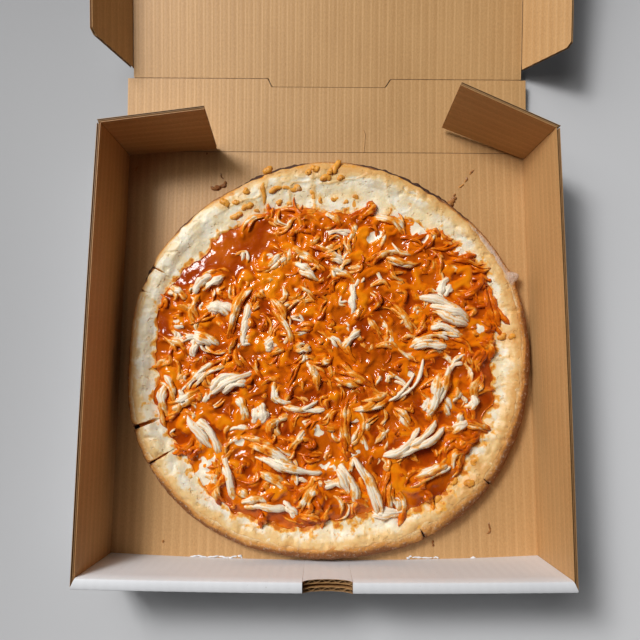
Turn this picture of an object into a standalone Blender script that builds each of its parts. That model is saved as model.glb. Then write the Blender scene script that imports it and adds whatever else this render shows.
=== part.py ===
"""A twelve-inch pizza with sauced shredded chicken, in its open corrugated-board box.

The box is one folded sheet: a tray with a double front wall, two corner flaps,
a back panel and a lid with its three flaps. The pizza is a dough base with a
raised rim, a cheese layer, and a bed of sauce with the chicken lying in it.

Lengths are in millimetres and MM turns them into metres. The origin is the
middle of the tray's underside, +X is to the right, +Y to the back, +Z up.
"""
import math
import random

import bmesh
import bpy
from mathutils import Matrix, Vector

MM = 0.001
GAP = 0.3                     # clearance between two solids that lie on each other

# Box board and tray
BOARD = 2.6                   # thickness of the corrugated board
TRAY_WIDTH = 305.0            # between the side walls, at the floor
WALL_HEIGHT = 55.5            # side wall above the tray floor
CREASE_Y = 150.6              # crease between the floor and the back panel
FRONT_Y = -149.0              # inner face of the front wall, at its ends
FRONT_BOW_FOOT = 4.2          # how far the middle of the front wall bows out, at the floor
FRONT_BOW_TOP = 1.4           # the same at its top
FRONT_DEPTH = 7.2             # front wall: outer ply, cavity and inner ply
FRONT_RISE = 0.7              # the front wall's fold stands this much above the side walls
FOLD_RADIUS = 1.6             # rounding of the front wall's two top folds
FRONT_STATIONS = 12           # stretches along the bowed front wall
WALL_STATIONS = 8             # stretches along each side wall
WALL_BOW = 0.7                # side walls bow out at mid length, at the top
WALL_OVERLAP = 1.0            # how far fused pieces of the tray reach into each other
# each side: lean of the wall's top outwards, at the front and at the rear
WALL_LEAN = {-1: (2.4, 1.7), 1: (1.5, 3.2)}
# each side: where the side wall ends and the corner flap's fold begins
CORNER_Y = {-1: 147.2, 1: 145.6}
NOTCH_X = 1.6                 # middle of the thumb notch in the front wall
NOTCH_WIDTH = 31.0
NOTCH_DEPTH = 7.0
NOTCH_SIDES = 28

# Corner flaps at the rear ends of the side walls
CORNER_LENGTH = 68.0          # along the flap's foot
CORNER_TOP_EXTRA = 3.0        # the top edge is this much longer
CORNER_FOOT = 0.8             # height of the foot above the tray floor, at the fold
# each side: how much the foot has risen at the free end, and the angle behind
# the straight closed line at the foot and at the top, in degrees
CORNER_RISE = {-1: 1.6, 1: 5.8}
CORNER_ANGLE = {-1: (3.5, 8.0), 1: (19.4, 25.0)}
CORNER_STEPS = 4

# Back panel and lid
PANEL_LENGTH = 57.7           # crease to crease, the height of the closed box
PANEL_HALF = 155.0
PANEL_TILT = 5.5              # degrees above the table
LID_X = 0.5                   # the lid sits this far to the right
LID_HALF = 151.2              # from its middle to a side fold
LID_LENGTH = 296.0
LID_TILT = 9.0                # degrees above the table
CREASE_GAP = 0.2              # half the gap at a crease
TAB_DEPTH = 6.2               # locking tab of the lid, cut out of the back panel
TAB_FOOT = (-46.0, 49.0)      # its two ends at the crease
TAB_TIP = (-43.0, 44.8)       # its two ends at the tip
TAB_GAP = 0.5
FLAP_HEIGHT = 40.0            # lid side flaps
FLAP_START = 8.0              # their ends, from the lid's rear crease
FLAP_END = 288.0
FLAP_CHAMFER = 3.0            # cut off both outer corners of a side flap
FLAP_ANGLE = {-1: 64.0, 1: 52.0}   # degrees folded up from the lid's plane
FRONT_FLAP_HEIGHT = 38.0
FRONT_FLAP_HALF = (147.0, 140.0)   # at the fold and at the free edge
FRONT_FLAP_ANGLE = 60.0
FRONT_FLAP_CORNER = 8.0       # cut off its two outer corners

# Pizza
PIZZA_X = 1.7
PIZZA_Y = -8.0
# outer radius every 20 degrees, from +X round through +Y
RIM_RADII = (147.8, 149.4, 148.5, 147.8, 148.8, 148.1, 145.9, 147.4, 147.3,
             146.1, 150.0, 150.2, 147.6, 143.5, 143.0, 146.1, 148.3, 147.8)
# how far the sauce reaches, at the same angles
SAUCE_RADII = (119.0, 122.0, 122.0, 116.0, 108.0, 111.0, 119.0, 119.0, 122.0,
               121.0, 124.0, 123.0, 121.0, 118.0, 113.0, 120.0, 122.0, 121.0)
# section through the rim: distance from the edge inwards, height above the underside
RIM_SECTION = ((7.0, 0.0), (1.6, 1.2), (0.0, 4.4), (0.8, 7.8), (3.6, 10.6),
               (8.2, 12.4), (13.0, 11.9), (17.2, 9.8), (20.2, 7.2), (22.4, 6.0))
RIM_CREST = 12.4              # the section's highest point
BASE_HEIGHT = 6.0             # dough under the toppings
RIM_LUMP = 1.1                # unevenness of the rim's height
RIM_SIDES = 84
# section through a layer's edge: distance inwards in lips, height in thicknesses
LAYER_SECTION = ((0.35, 0.0), (0.0, 0.4), (0.4, 0.85), (1.0, 1.0), (2.2, 1.0))
CHEESE_MARGIN = 23.2          # from the outer edge to the cheese
CHEESE_WAVE = 2.6
CHEESE_HEIGHT = 2.2
CHEESE_SIDES = 56
CHEESE_LIP = 5.0              # width of its rounded edge
SAUCE_MARGIN = 1.6            # from the cheese's edge to the sauce, at least
SAUCE_HEIGHT = 2.2
SAUCE_LIP = 4.0
SAUCE_SIDES = 48
# cuts of the wheel that show in the rim: angle, inner radius, width, depth
CUTS = ((200.8, 120.0, 2.0, 11.0), (211.6, 122.0, 1.0, 5.0), (153.5, 130.0, 0.9, 4.0),
        (322.0, 127.0, 1.0, 5.0), (298.4, 119.0, 1.2, 6.0))
CUT_TAPER = 8.0               # length over which a cut closes at its inner end
CUT_OUTER = 165.0             # a cut runs to this radius, clear of the rim
# nub of floury dough that sticks out of the rim
NUB_ANGLE = 23.4
NUB_INSET = 4.0               # its middle, inside the rim's outer edge
NUB_LEVEL = 6.5               # its middle, above the underside
NUB_SIZE = (9.0, 4.5)         # along the rim, half height
NUB_SECTIONS = ((-5.0, 1.0), (2.5, 1.0), (7.0, 0.62))   # distance outwards, share of its size
NUB_SIDES = 8

# Chicken: the large pieces, measured from the pizza's middle:
# x, y, direction in degrees, length, width, sideways bend, lift
PIECES = (
    (-24, 99, 35, 34, 6, 4, 3), (-87, 52, 37, 26, 7.5, 2, 3.5), (-80, 34, -15, 24, 8, 2, 4),
    (-67, 25, 71, 54, 6.0, 3.0, 6.0), (-59, 24, 75, 34, 6.5, 1.0, 3.0), (-35, 27, -60, 40, 6.5, 2.0, 6.0),
    (-15, 70, -33, 28, 5.5, 1.0, 3.0), (-16, 61, -34, 26, 6.5, 1.5, 3.5), (49, 96, -30, 28, 8.5, 2.0, 4.0),
    (5, 71, -20, 24, 8.5, 1.0, 3.5), (55, 69, -5, 38, 6.5, -2.0, 4.5), (103, 48, 50, 32, 6.0, -4.0, 4.0),
    (89, 31, -25, 42, 9.5, 2.0, 5.5), (88, 17, -10, 32, 7.0, 1.5, 4.0), (54, 29, -45, 40, 4.5, 3.0, 4.0),
    (72, 10, 5, 32, 9.5, 2.0, 5.0), (-114, -23, -65, 34, 4.5, 4.0, 3.5), (-91, -17, 40, 44, 7.0, 2.5, 5.0),
    (-70, -20, 20, 34, 10, 3, 5), (-42, -67, -28, 44, 8.5, 4, 5), (-28, -78, -15, 58, 7.5, -2, 6),
    (-46, -104, 0, 32, 8.5, 2.0, 4.5), (-14, -37, 5, 34, 6.5, -4.0, 4.0), (20, -17, -25, 32, 13.0, 1.0, 5.0),
    (31, -33, 25, 32, 8.5, -3.0, 4.5), (81, -22, 75, 42, 9.0, 1.0, 6.5), (61, -60, 35, 56, 12.0, -3.0, 7.5),
    (73, -81, 25, 36, 8.0, -1.0, 4.0), (27, -87, -68, 52, 5.5, 2.0, 5.0), (13, -54, -85, 38, 9.0, 1.5, 4.0))
PIECE_THICKNESS = 0.65        # of the width
PIECE_MAX_THICKNESS = 6.5
PIECE_END = 0.35              # thickness left at a shred's ends
PIECE_SINK = 0.4              # how far a shred's middle line starts below the sauce
PIECE_SIDES = 6
PIECE_STEPS = 6
SHREDS = 92                   # smaller shreds that fill the spaces between
SHRED_SIDES = 4
SHRED_STEPS = 3
SHRED_LENGTH = (15.0, 30.0)
SHRED_WIDTH = (4.2, 6.2)
SHRED_LIFT = (1.6, 4.6)
SHRED_SPACING = 10.5          # least distance between the middles of two shreds
BARE_SAUCE = ((-50.0, 80.0, 16.0), (-82.0, 78.0, 13.0))   # bare spots: x, y, radius
SHRED_REACH = 0.93            # of the sauce's radius
SHRED_SEED = 41

COLOURS = {
    "kraft": ((0.50, 0.32, 0.16), 0.85),
    "dough": ((0.84, 0.68, 0.44), 0.8),
    "cheese": ((0.92, 0.83, 0.62), 0.45),
    "sauce": ((0.68, 0.20, 0.02), 0.2),
}


def clear_scene():
    """Remove every object the file opens with."""
    for thing in list(bpy.data.objects):
        bpy.data.objects.remove(thing, do_unlink=True)


def make_material(name):
    """A plain Principled material in one of the named colours."""
    colour, roughness = COLOURS[name]
    material = bpy.data.materials.new(name)
    material.use_nodes = True
    shader = material.node_tree.nodes["Principled BSDF"]
    shader.inputs["Base Color"].default_value = (*colour, 1.0)
    shader.inputs["Roughness"].default_value = roughness
    shader.inputs["Metallic"].default_value = 0.0
    material.diffuse_color = (*colour, 1.0)
    return material


def add_object(name, points, faces, material=None, place=None, smooth=None):
    """Make a mesh object from points in millimetres, after moving them by place."""
    if place is not None:
        points = [place @ Vector(p) for p in points]
    mesh = bpy.data.meshes.new(name)
    mesh.from_pydata([tuple(c * MM for c in p) for p in points], [], faces)
    mesh.validate()
    shape = bmesh.new()
    shape.from_mesh(mesh)
    bmesh.ops.recalc_face_normals(shape, faces=shape.faces)
    shape.to_mesh(mesh)
    shape.free()
    thing = bpy.data.objects.new(name, mesh)
    bpy.context.scene.collection.objects.link(thing)
    if material is not None:
        mesh.materials.append(material)
    if smooth is not None:
        mesh.shade_smooth()
        mesh.set_sharp_from_angle(angle=math.radians(smooth))
    return thing


def bridge(rings):
    """Faces that join a row of rings of equal length and cap both ends."""
    count = len(rings[0])
    faces = [tuple(range(count))[::-1]]
    for i in range(len(rings) - 1):
        a = i * count
        for k in range(count):
            n = (k + 1) % count
            faces.append((a + k, a + n, a + count + n, a + count + k))
    last = (len(rings) - 1) * count
    faces.append(tuple(last + k for k in range(count)))
    return [p for ring in rings for p in ring], faces


def plate(outline, z_low, z_high):
    """A flat plate: an outline in X and Y, between two heights."""
    return bridge([[(x, y, z_low) for x, y in outline], [(x, y, z_high) for x, y in outline]])


def turned(rings, low, high):
    """A closed shell of rings round the Z axis, with a pole at each end."""
    count = len(rings[0])
    points = [p for ring in rings for p in ring] + [low, high]
    faces = []
    for i in range(len(rings) - 1):
        a = i * count
        for k in range(count):
            n = (k + 1) % count
            faces.append((a + k, a + n, a + count + n, a + count + k))
    last = (len(rings) - 1) * count
    for k in range(count):
        n = (k + 1) % count
        faces.append((n, k, len(points) - 2))
        faces.append((last + k, last + n, len(points) - 1))
    return points, faces


def ring_value(values, degrees):
    """Smooth value between entries spaced evenly round a circle (Catmull-Rom)."""
    position = (degrees % 360.0) / 360.0 * len(values)
    i = int(position)
    t = position - i
    a, b, c, d = (values[(i + k) % len(values)] for k in (-1, 0, 1, 2))
    return b + 0.5 * t * (c - a + t * (2 * a - 5 * b + 4 * c - d + t * (3 * (b - c) + d - a)))


def waves(seed, counts):
    """A wavy function of an angle in degrees, between about -1 and 1."""
    draw = random.Random(seed)
    terms = [(n, draw.uniform(0.0, 2.0 * math.pi)) for n in counts]
    return lambda degrees: sum(math.sin(n * math.radians(degrees) + p) for n, p in terms) / len(terms)


def apply_boolean(target, operation, tool=None, group=None):
    """Boolean with one object or with a collection, applied; what was used is removed."""
    modifier = target.modifiers.new("join", "BOOLEAN")
    modifier.operation = operation
    modifier.solver = "EXACT"
    if group is None:
        modifier.object = tool
    else:
        modifier.operand_type = "COLLECTION"
        modifier.collection = group
    bpy.context.view_layer.update()
    graph = bpy.context.evaluated_depsgraph_get()
    done = bpy.data.meshes.new_from_object(target.evaluated_get(graph))
    done.name = target.name
    target.modifiers.clear()
    target.data = done
    used = [tool] if group is None else list(group.objects)
    for thing in used:
        bpy.data.objects.remove(thing, do_unlink=True)
    if group is not None:
        bpy.data.collections.remove(group)


def collect(name, things):
    """Put objects into a collection of their own, for one Boolean."""
    group = bpy.data.collections.new(name)
    bpy.context.scene.collection.children.link(group)
    for thing in things:
        bpy.context.scene.collection.objects.unlink(thing)
        group.objects.link(thing)
    return group


def wall_lean(side, y):
    """Outward lean of a side wall's top at a place along it."""
    front, rear = WALL_LEAN[side]
    share = (y - FRONT_Y) / (CREASE_Y - FRONT_Y)
    return front + (rear - front) * share + WALL_BOW * math.sin(math.pi * min(max(share, 0.0), 1.0))


def side_wall(side):
    """One side wall, swept from its rear end into the front wall's cavity."""
    rear = CORNER_Y[side] - GAP
    front = FRONT_Y - BOARD - 1.0
    rings = []
    for i in range(WALL_STATIONS + 1):
        y = rear + (front - rear) * i / WALL_STATIONS
        foot = side * TRAY_WIDTH / 2
        top = foot + side * wall_lean(side, y)
        rings.append([(foot, y, 0.0), (foot + side * BOARD, y, 0.0),
                      (top + side * BOARD, y, BOARD + WALL_HEIGHT), (top, y, BOARD + WALL_HEIGHT)])
    return bridge(rings)


def front_face_y(x, height):
    """Inner face of the bowed front wall at a place along it and a height."""
    share = height / (BOARD + WALL_HEIGHT)
    bow = FRONT_BOW_FOOT + (FRONT_BOW_TOP - FRONT_BOW_FOOT) * share
    return FRONT_Y - bow * (1.0 - (2.0 * x / TRAY_WIDTH) ** 2)


def front_section():
    """Section of the double front wall: depth behind its inner face, and height."""
    top = BOARD + WALL_HEIGHT + FRONT_RISE
    r = FOLD_RADIUS
    return [(0.0, BOARD - WALL_OVERLAP), (0.0, top - r), (0.3 * r, top - 0.3 * r), (r, top),
            (FRONT_DEPTH - r, top), (FRONT_DEPTH - 0.3 * r, top - 0.3 * r), (FRONT_DEPTH, top - r),
            (FRONT_DEPTH, 0.0), (FRONT_DEPTH - BOARD, 0.0), (FRONT_DEPTH - BOARD, top - BOARD),
            (BOARD, top - BOARD), (BOARD, BOARD - WALL_OVERLAP)]


def front_wall():
    """The board rolled over itself: outer ply, top band and inner ply, bowed outwards."""
    rings = []
    for i in range(FRONT_STATIONS + 1):
        share = 2.0 * i / FRONT_STATIONS - 1.0
        side = -1 if share < 0 else 1
        ring = []
        for depth, height in front_section():
            lean = WALL_LEAN[side][0] * height / (BOARD + WALL_HEIGHT)
            x = share * (TRAY_WIDTH / 2 + BOARD - GAP + lean)
            ring.append((x, front_face_y(x, height) - depth, height))
        rings.append(ring)
    return bridge(rings)


def make_tray(material):
    """Floor, side walls and front wall as one folded piece, with the thumb notch."""
    half = TRAY_WIDTH / 2 + WALL_OVERLAP
    front_edge = [half * (2.0 * i / FRONT_STATIONS - 1.0) for i in range(FRONT_STATIONS + 1)]
    outline = [(half, CREASE_Y - CREASE_GAP), (-half, CREASE_Y - CREASE_GAP)]
    outline += [(x, front_face_y(x, 0.0) - FRONT_DEPTH + WALL_OVERLAP) for x in front_edge]
    tray = add_object("tray", *plate(outline, 0.0, BOARD), material)
    walls = [add_object("wall", *side_wall(side)) for side in (-1, 1)]
    walls.append(add_object("front", *front_wall()))
    apply_boolean(tray, "UNION", group=collect("tray walls", walls))
    top = BOARD + WALL_HEIGHT + FRONT_RISE
    ellipse = []
    for k in range(NOTCH_SIDES):
        turn = 2.0 * math.pi * k / NOTCH_SIDES
        ellipse.append((NOTCH_X + NOTCH_WIDTH / 2 * math.cos(turn), top + NOTCH_DEPTH * math.sin(turn)))
    reach = (FRONT_Y + 10.0, FRONT_Y - FRONT_DEPTH - 15.0)
    notch = add_object("notch", *bridge([[(x, y, z) for x, z in ellipse] for y in reach]))
    apply_boolean(tray, "DIFFERENCE", tool=notch)
    return tray


def corner_fold(side):
    """Foot of a corner flap's fold line, and the fold line's direction."""
    lean = wall_lean(side, CORNER_Y[side])
    foot = Vector((side * TRAY_WIDTH / 2, CORNER_Y[side], BOARD))
    return foot, Vector((side * lean, 0.0, BOARD + WALL_HEIGHT)).normalized()


def corner_flap(side, material):
    """A flap folded inwards from a side wall's rear end; its top leans back further."""
    foot, fold = corner_fold(side)
    low_angle, high_angle = CORNER_ANGLE[side]
    rings = []
    for i in range(CORNER_STEPS + 1):
        share = i / CORNER_STEPS
        angle = math.radians(low_angle + (high_angle - low_angle) * share)
        along = Vector((-side * math.cos(angle), math.sin(angle), 0.0))
        behind = Vector((side * math.sin(angle), math.cos(angle), 0.0))
        length = CORNER_LENGTH + CORNER_TOP_EXTRA * share
        ring = []
        for distance, depth in ((0.0, 0.0), (length, 0.0), (length, BOARD), (-BOARD, BOARD)):
            low = CORNER_FOOT + CORNER_RISE[side] * max(distance, 0.0) / CORNER_LENGTH
            height = low + (WALL_HEIGHT - low) * share
            ring.append(foot + fold * (height / fold.z) + along * distance + behind * depth)
        rings.append(ring)
    name = "corner_flap_left" if side < 0 else "corner_flap_right"
    return add_object(name, *bridge(rings), material)


def panel_place():
    """Placement of the back panel: its crease on the tray, tilted up."""
    return Matrix.Translation((0.0, CREASE_Y, BOARD)) @ Matrix.Rotation(math.radians(PANEL_TILT), 4, "X")


def lid_place():
    """Placement of the lid: its crease at the back panel's far edge."""
    crease = panel_place() @ Vector((LID_X, PANEL_LENGTH, 0.0))
    return Matrix.Translation(crease) @ Matrix.Rotation(math.radians(LID_TILT), 4, "X")


def back_panel(material):
    """The back wall, laid back, with the recess that the lid's tab was cut from."""
    far = PANEL_LENGTH - CREASE_GAP
    deep = PANEL_LENGTH - TAB_DEPTH - TAB_GAP
    outline = [(-PANEL_HALF, CREASE_GAP), (PANEL_HALF, CREASE_GAP), (PANEL_HALF - 0.4, far),
               (TAB_FOOT[1] + LID_X + TAB_GAP, far), (TAB_TIP[1] + LID_X + TAB_GAP, deep),
               (TAB_TIP[0] + LID_X - TAB_GAP, deep), (TAB_FOOT[0] + LID_X - TAB_GAP, far),
               (-PANEL_HALF + 0.4, far)]
    return add_object("back_panel", *plate(outline, -BOARD, 0.0), material, panel_place())


def lid(material):
    """The lid's main panel and its tab, which stays in the lid's plane when it folds."""
    outline = [(-LID_HALF + CREASE_GAP, CREASE_GAP), (TAB_FOOT[0], CREASE_GAP), (TAB_TIP[0], -TAB_DEPTH),
               (TAB_TIP[1], -TAB_DEPTH), (TAB_FOOT[1], CREASE_GAP), (LID_HALF - CREASE_GAP, CREASE_GAP),
               (LID_HALF - CREASE_GAP, LID_LENGTH - CREASE_GAP),
               (-LID_HALF + CREASE_GAP, LID_LENGTH - CREASE_GAP)]
    return add_object("lid", *plate(outline, -BOARD, 0.0), material, lid_place())


def lid_side_flap(side, material):
    """A side flap of the lid, folded up along the lid's side crease."""
    u0, u1 = CREASE_GAP, FLAP_HEIGHT
    outline = [(u0, FLAP_START), (u1 - FLAP_CHAMFER, FLAP_START), (u1, FLAP_START + FLAP_CHAMFER),
               (u1, FLAP_END - FLAP_CHAMFER), (u1 - FLAP_CHAMFER, FLAP_END), (u0, FLAP_END)]
    outline = [(side * u, v) for u, v in outline]
    fold = Matrix.Translation((side * LID_HALF, 0.0, 0.0))
    turn = Matrix.Rotation(math.radians(-side * FLAP_ANGLE[side]), 4, "Y")
    name = "lid_flap_left" if side < 0 else "lid_flap_right"
    return add_object(name, *plate(outline, -BOARD, 0.0), material, lid_place() @ fold @ turn)


def lid_front_flap(material):
    """The flap along the lid's free edge, which tucks inside the front wall."""
    near, far = FRONT_FLAP_HALF
    cut = FRONT_FLAP_CORNER
    outline = [(-near, CREASE_GAP), (near, CREASE_GAP), (far, FRONT_FLAP_HEIGHT - cut),
               (far - cut, FRONT_FLAP_HEIGHT), (cut - far, FRONT_FLAP_HEIGHT),
               (-far, FRONT_FLAP_HEIGHT - cut)]
    fold = Matrix.Translation((0.0, LID_LENGTH, 0.0))
    turn = Matrix.Rotation(math.radians(FRONT_FLAP_ANGLE), 4, "X")
    return add_object("lid_front_flap", *plate(outline, -BOARD, 0.0), material, lid_place() @ fold @ turn)


def polar(radius, degrees, height):
    """A point at a radius and angle from the pizza's middle."""
    turn = math.radians(degrees)
    return (PIZZA_X + radius * math.cos(turn), PIZZA_Y + radius * math.sin(turn), height)


def make_nub(underside):
    """The nub of dough: an oval bar that runs out of the rim and narrows."""
    along, half = NUB_SIZE
    rings = []
    for out, share in NUB_SECTIONS:
        ring = []
        for k in range(NUB_SIDES):
            turn = 2.0 * math.pi * k / NUB_SIDES
            ring.append((out, 0.5 * along * share * math.cos(turn), half * share * math.sin(turn)))
        rings.append(ring)
    centre = Vector(polar(ring_value(RIM_RADII, NUB_ANGLE) - NUB_INSET, NUB_ANGLE, underside + NUB_LEVEL))
    place = Matrix.Translation(centre) @ Matrix.Rotation(math.radians(NUB_ANGLE), 4, "Z")
    return add_object("nub", *bridge(rings), None, place)


def make_crust(material):
    """Dough base with a raised, lumpy rim, the floury nub and the wheel's cuts."""
    underside = BOARD + GAP
    lumps = waves(3, (5, 9, 14, 22))
    ripple = waves(8, (17, 25, 31))
    rings = []
    for inset, height in RIM_SECTION:
        ring = []
        for k in range(RIM_SIDES):
            angle = 360.0 * k / RIM_SIDES
            share = max(height - BASE_HEIGHT, 0.0) / (RIM_CREST - BASE_HEIGHT)
            z = height + share * RIM_LUMP * lumps(angle)
            radius = ring_value(RIM_RADII, angle) - inset + 0.5 * share * ripple(angle)
            ring.append(polar(radius, angle, underside + z))
        rings.append(ring)
    middle = (PIZZA_X, PIZZA_Y, underside)
    top = (PIZZA_X, PIZZA_Y, underside + BASE_HEIGHT)
    crust = add_object("crust", *turned(rings, middle, top), material, smooth=60.0)
    apply_boolean(crust, "UNION", tool=make_nub(underside))
    for angle, inner, width, depth in CUTS:
        low = underside + RIM_CREST - depth
        outline = [(inner, 0.0), (inner + CUT_TAPER, -width / 2), (CUT_OUTER, -width / 2),
                   (CUT_OUTER, width / 2), (inner + CUT_TAPER, width / 2)]
        turn = Matrix.Translation((PIZZA_X, PIZZA_Y, 0.0)) @ Matrix.Rotation(math.radians(angle), 4, "Z")
        cutter = add_object("cut", *plate(outline, low, underside + 2.0 * RIM_CREST), None, turn)
        apply_boolean(crust, "DIFFERENCE", tool=cutter)
    return crust


def layer(name, material, radii, sides, low, high, lip):
    """A flat layer with a rounded, irregular edge."""
    rings = []
    for inset, height in LAYER_SECTION:
        ring = []
        for k in range(sides):
            angle = 360.0 * k / sides
            ring.append(polar(radii(angle) - inset * lip, angle, low + height * (high - low)))
        rings.append(ring)
    return add_object(name, *turned(rings, (PIZZA_X, PIZZA_Y, low), (PIZZA_X, PIZZA_Y, high)),
                      material, smooth=60.0)


def cheese_radius(angle):
    """Edge of the cheese, a little inside the rim's inner slope."""
    spread = waves(12, (4, 7, 11, 16))
    return ring_value(RIM_RADII, angle) - CHEESE_MARGIN - CHEESE_WAVE * (0.5 + 0.5 * spread(angle))


def sauce_radius(angle):
    """Edge of the sauce, always on the cheese."""
    ragged = waves(19, (9, 13, 19))
    return min(ring_value(SAUCE_RADII, angle) + 1.5 * ragged(angle), cheese_radius(angle) - SAUCE_MARGIN)


def strip(x, y, degrees, length, width, bend, lift, floor, sides, steps):
    """A shred of chicken: a flattened bar with pointed ends that lies in a low arch."""
    turn = math.radians(degrees)
    ahead = Vector((math.cos(turn), math.sin(turn), 0.0))
    across = Vector((-math.sin(turn), math.cos(turn), 0.0))
    thickness = min(PIECE_THICKNESS * width, PIECE_MAX_THICKNESS)
    rings = []
    for i in range(steps + 1):
        t = 2.0 * i / steps - 1.0
        arch = 1.0 - t * t
        middle = Vector((PIZZA_X + x, PIZZA_Y + y, floor - PIECE_SINK + lift * arch))
        middle += ahead * (t * length / 2) + across * (bend * (arch - 0.5))
        size = PIECE_END + (1.0 - PIECE_END) * math.sqrt(max(arch, 0.0))
        ring = []
        for k in range(sides):
            around = 2.0 * math.pi * (k + 0.5) / sides
            ring.append(middle + across * (0.5 * width * size * math.cos(around))
                        + Vector((0.0, 0.0, 0.5 * thickness * size * math.sin(around))))
        rings.append(ring)
    return bridge(rings)


def scattered_shreds():
    """Places and sizes of the smaller shreds, spread evenly by a seeded draw."""
    draw = random.Random(SHRED_SEED)
    shreds = []
    while len(shreds) < SHREDS:
        angle = draw.uniform(0.0, 360.0)
        radius = SHRED_REACH * sauce_radius(angle) * math.sqrt(draw.random())
        x, y = radius * math.cos(math.radians(angle)), radius * math.sin(math.radians(angle))
        if any(math.hypot(x - bare_x, y - bare_y) < reach for bare_x, bare_y, reach in BARE_SAUCE):
            continue
        if all(math.hypot(x - s[0], y - s[1]) > SHRED_SPACING for s in shreds):
            shreds.append((x, y, draw.uniform(-90.0, 90.0), draw.uniform(*SHRED_LENGTH),
                           draw.uniform(*SHRED_WIDTH), draw.uniform(-4.0, 4.0), draw.uniform(*SHRED_LIFT)))
    return shreds


def make_chicken(material, low):
    """The bed of sauce with all shreds fused to it."""
    top = low + SAUCE_HEIGHT
    bed = layer("chicken_in_sauce", material, sauce_radius, SAUCE_SIDES, low, top, SAUCE_LIP)
    bars = [add_object("bar", *strip(*piece, top, PIECE_SIDES, PIECE_STEPS)) for piece in PIECES]
    bars += [add_object("bar", *strip(*shred, top, SHRED_SIDES, SHRED_STEPS)) for shred in scattered_shreds()]
    apply_boolean(bed, "UNION", group=collect("chicken", bars))
    return bed


def build():
    clear_scene()
    kraft = make_material("kraft")
    make_tray(kraft)
    for side in (-1, 1):
        corner_flap(side, kraft)
        lid_side_flap(side, kraft)
    back_panel(kraft)
    lid(kraft)
    lid_front_flap(kraft)
    make_crust(make_material("dough"))
    cheese_low = BOARD + GAP + BASE_HEIGHT + GAP
    layer("cheese", make_material("cheese"), cheese_radius, CHEESE_SIDES, cheese_low,
          cheese_low + CHEESE_HEIGHT, CHEESE_LIP)
    make_chicken(make_material("sauce"), cheese_low + CHEESE_HEIGHT + GAP)


build()
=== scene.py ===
# %% [markdown]
# # A pizza in its open box
#
# The model holds a box of corrugated board and, in it, a pizza with shredded chicken in a hot
# orange sauce. The solids of the frame give every place and size. This script puts the looks
# on top: real corrugated sheets, a lumpy crust, melted cheese, wet sauce and nearly a thousand
# strands of meat. All lengths below are in millimetres, and one factor turns them into metres
# when a mesh is made.

import math
import random

import bpy
import numpy as np
from mathutils import Euler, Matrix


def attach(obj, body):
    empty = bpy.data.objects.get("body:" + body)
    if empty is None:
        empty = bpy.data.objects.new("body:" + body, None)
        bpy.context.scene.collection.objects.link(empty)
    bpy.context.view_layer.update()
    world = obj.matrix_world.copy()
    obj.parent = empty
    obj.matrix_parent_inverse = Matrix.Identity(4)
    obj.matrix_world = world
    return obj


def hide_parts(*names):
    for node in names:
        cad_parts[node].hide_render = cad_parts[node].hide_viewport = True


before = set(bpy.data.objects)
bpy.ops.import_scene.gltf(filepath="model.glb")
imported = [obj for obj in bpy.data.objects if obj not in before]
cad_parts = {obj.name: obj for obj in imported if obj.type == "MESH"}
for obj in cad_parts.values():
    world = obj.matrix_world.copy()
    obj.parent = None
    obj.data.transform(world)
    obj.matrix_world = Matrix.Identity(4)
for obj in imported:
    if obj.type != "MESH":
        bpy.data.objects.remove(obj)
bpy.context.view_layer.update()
MM = 0.001

# %% [markdown]
# ## Camera
#
# The photograph looks straight down into the box, a little from the front. The focal length and
# place were found by matching the box's corners, so a pixel of the photograph can be turned into
# a place on the pizza: a ray from the lens through the pixel, cut by a level plane.

# %% Camera at the photograph's angle
PHOTO_SIZE = 640
FOCAL_PIXELS = 570.86
SENSOR = 36.0
CAMERA_PLACE = (-3.99, -32.09, 427.58)
CAMERA_TURN = (6.896, -0.031, 0.367)      # degrees about X, Y and Z

lens = bpy.data.cameras.new("camera")
lens.sensor_width = SENSOR
lens.lens = FOCAL_PIXELS / PHOTO_SIZE * SENSOR
lens.clip_start = 0.01
camera = bpy.data.objects.new("camera", lens)
camera.location = [c * MM for c in CAMERA_PLACE]
camera.rotation_euler = [math.radians(a) for a in CAMERA_TURN]
bpy.context.scene.collection.objects.link(camera)
bpy.context.scene.camera = camera
bpy.context.scene.view_settings.view_transform = "Standard"
print("lens of", round(lens.lens, 2), "mm at", CAMERA_PLACE)


def place_of_pixel(column, row, level):
    """Where the ray through a pixel meets the plane z = level: place = eye + t * direction."""
    turn = np.array(Euler([math.radians(a) for a in CAMERA_TURN]).to_matrix())
    half = PHOTO_SIZE / 2
    ahead = turn @ np.array([(column - half) / FOCAL_PIXELS, (half - row) / FOCAL_PIXELS, -1.0])
    eye = np.array(CAMERA_PLACE)
    return eye + (level - eye[2]) / ahead[2] * ahead


# %% [markdown]
# ## Light
#
# The left wall and the two rear flaps are dark, while the right wall and the front wall's inner
# face are bright. So the light stands at the upper left behind the box. Its shadows have a fairly
# clear edge with a long soft tail, which a small strong lamp in front of a wide weak one gives.
# A weak sky fills the shadows.

# %% Soft light from behind on the left
KEY_FROM = (-0.50, 0.46, 0.80)
KEY_DISTANCE = 2.0
CORE_SIZE = 0.5
CORE_POWER = 25.5
VEIL_SIZE = 1.6
VEIL_POWER = 20.5
SKY = 0.025
SKY_COLOUR = (0.95, 0.97, 1.0)


def add_area_light(name, direction, distance, size, power):
    """A square light that faces the origin from a direction."""
    data = bpy.data.lights.new(name, "AREA")
    data.size = size
    data.energy = power
    light = bpy.data.objects.new(name, data)
    away = np.array(direction) / np.linalg.norm(direction)
    light.location = away * distance
    light.rotation_euler = light.location.to_track_quat("Z", "Y").to_euler()
    bpy.context.scene.collection.objects.link(light)
    return light


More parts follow.
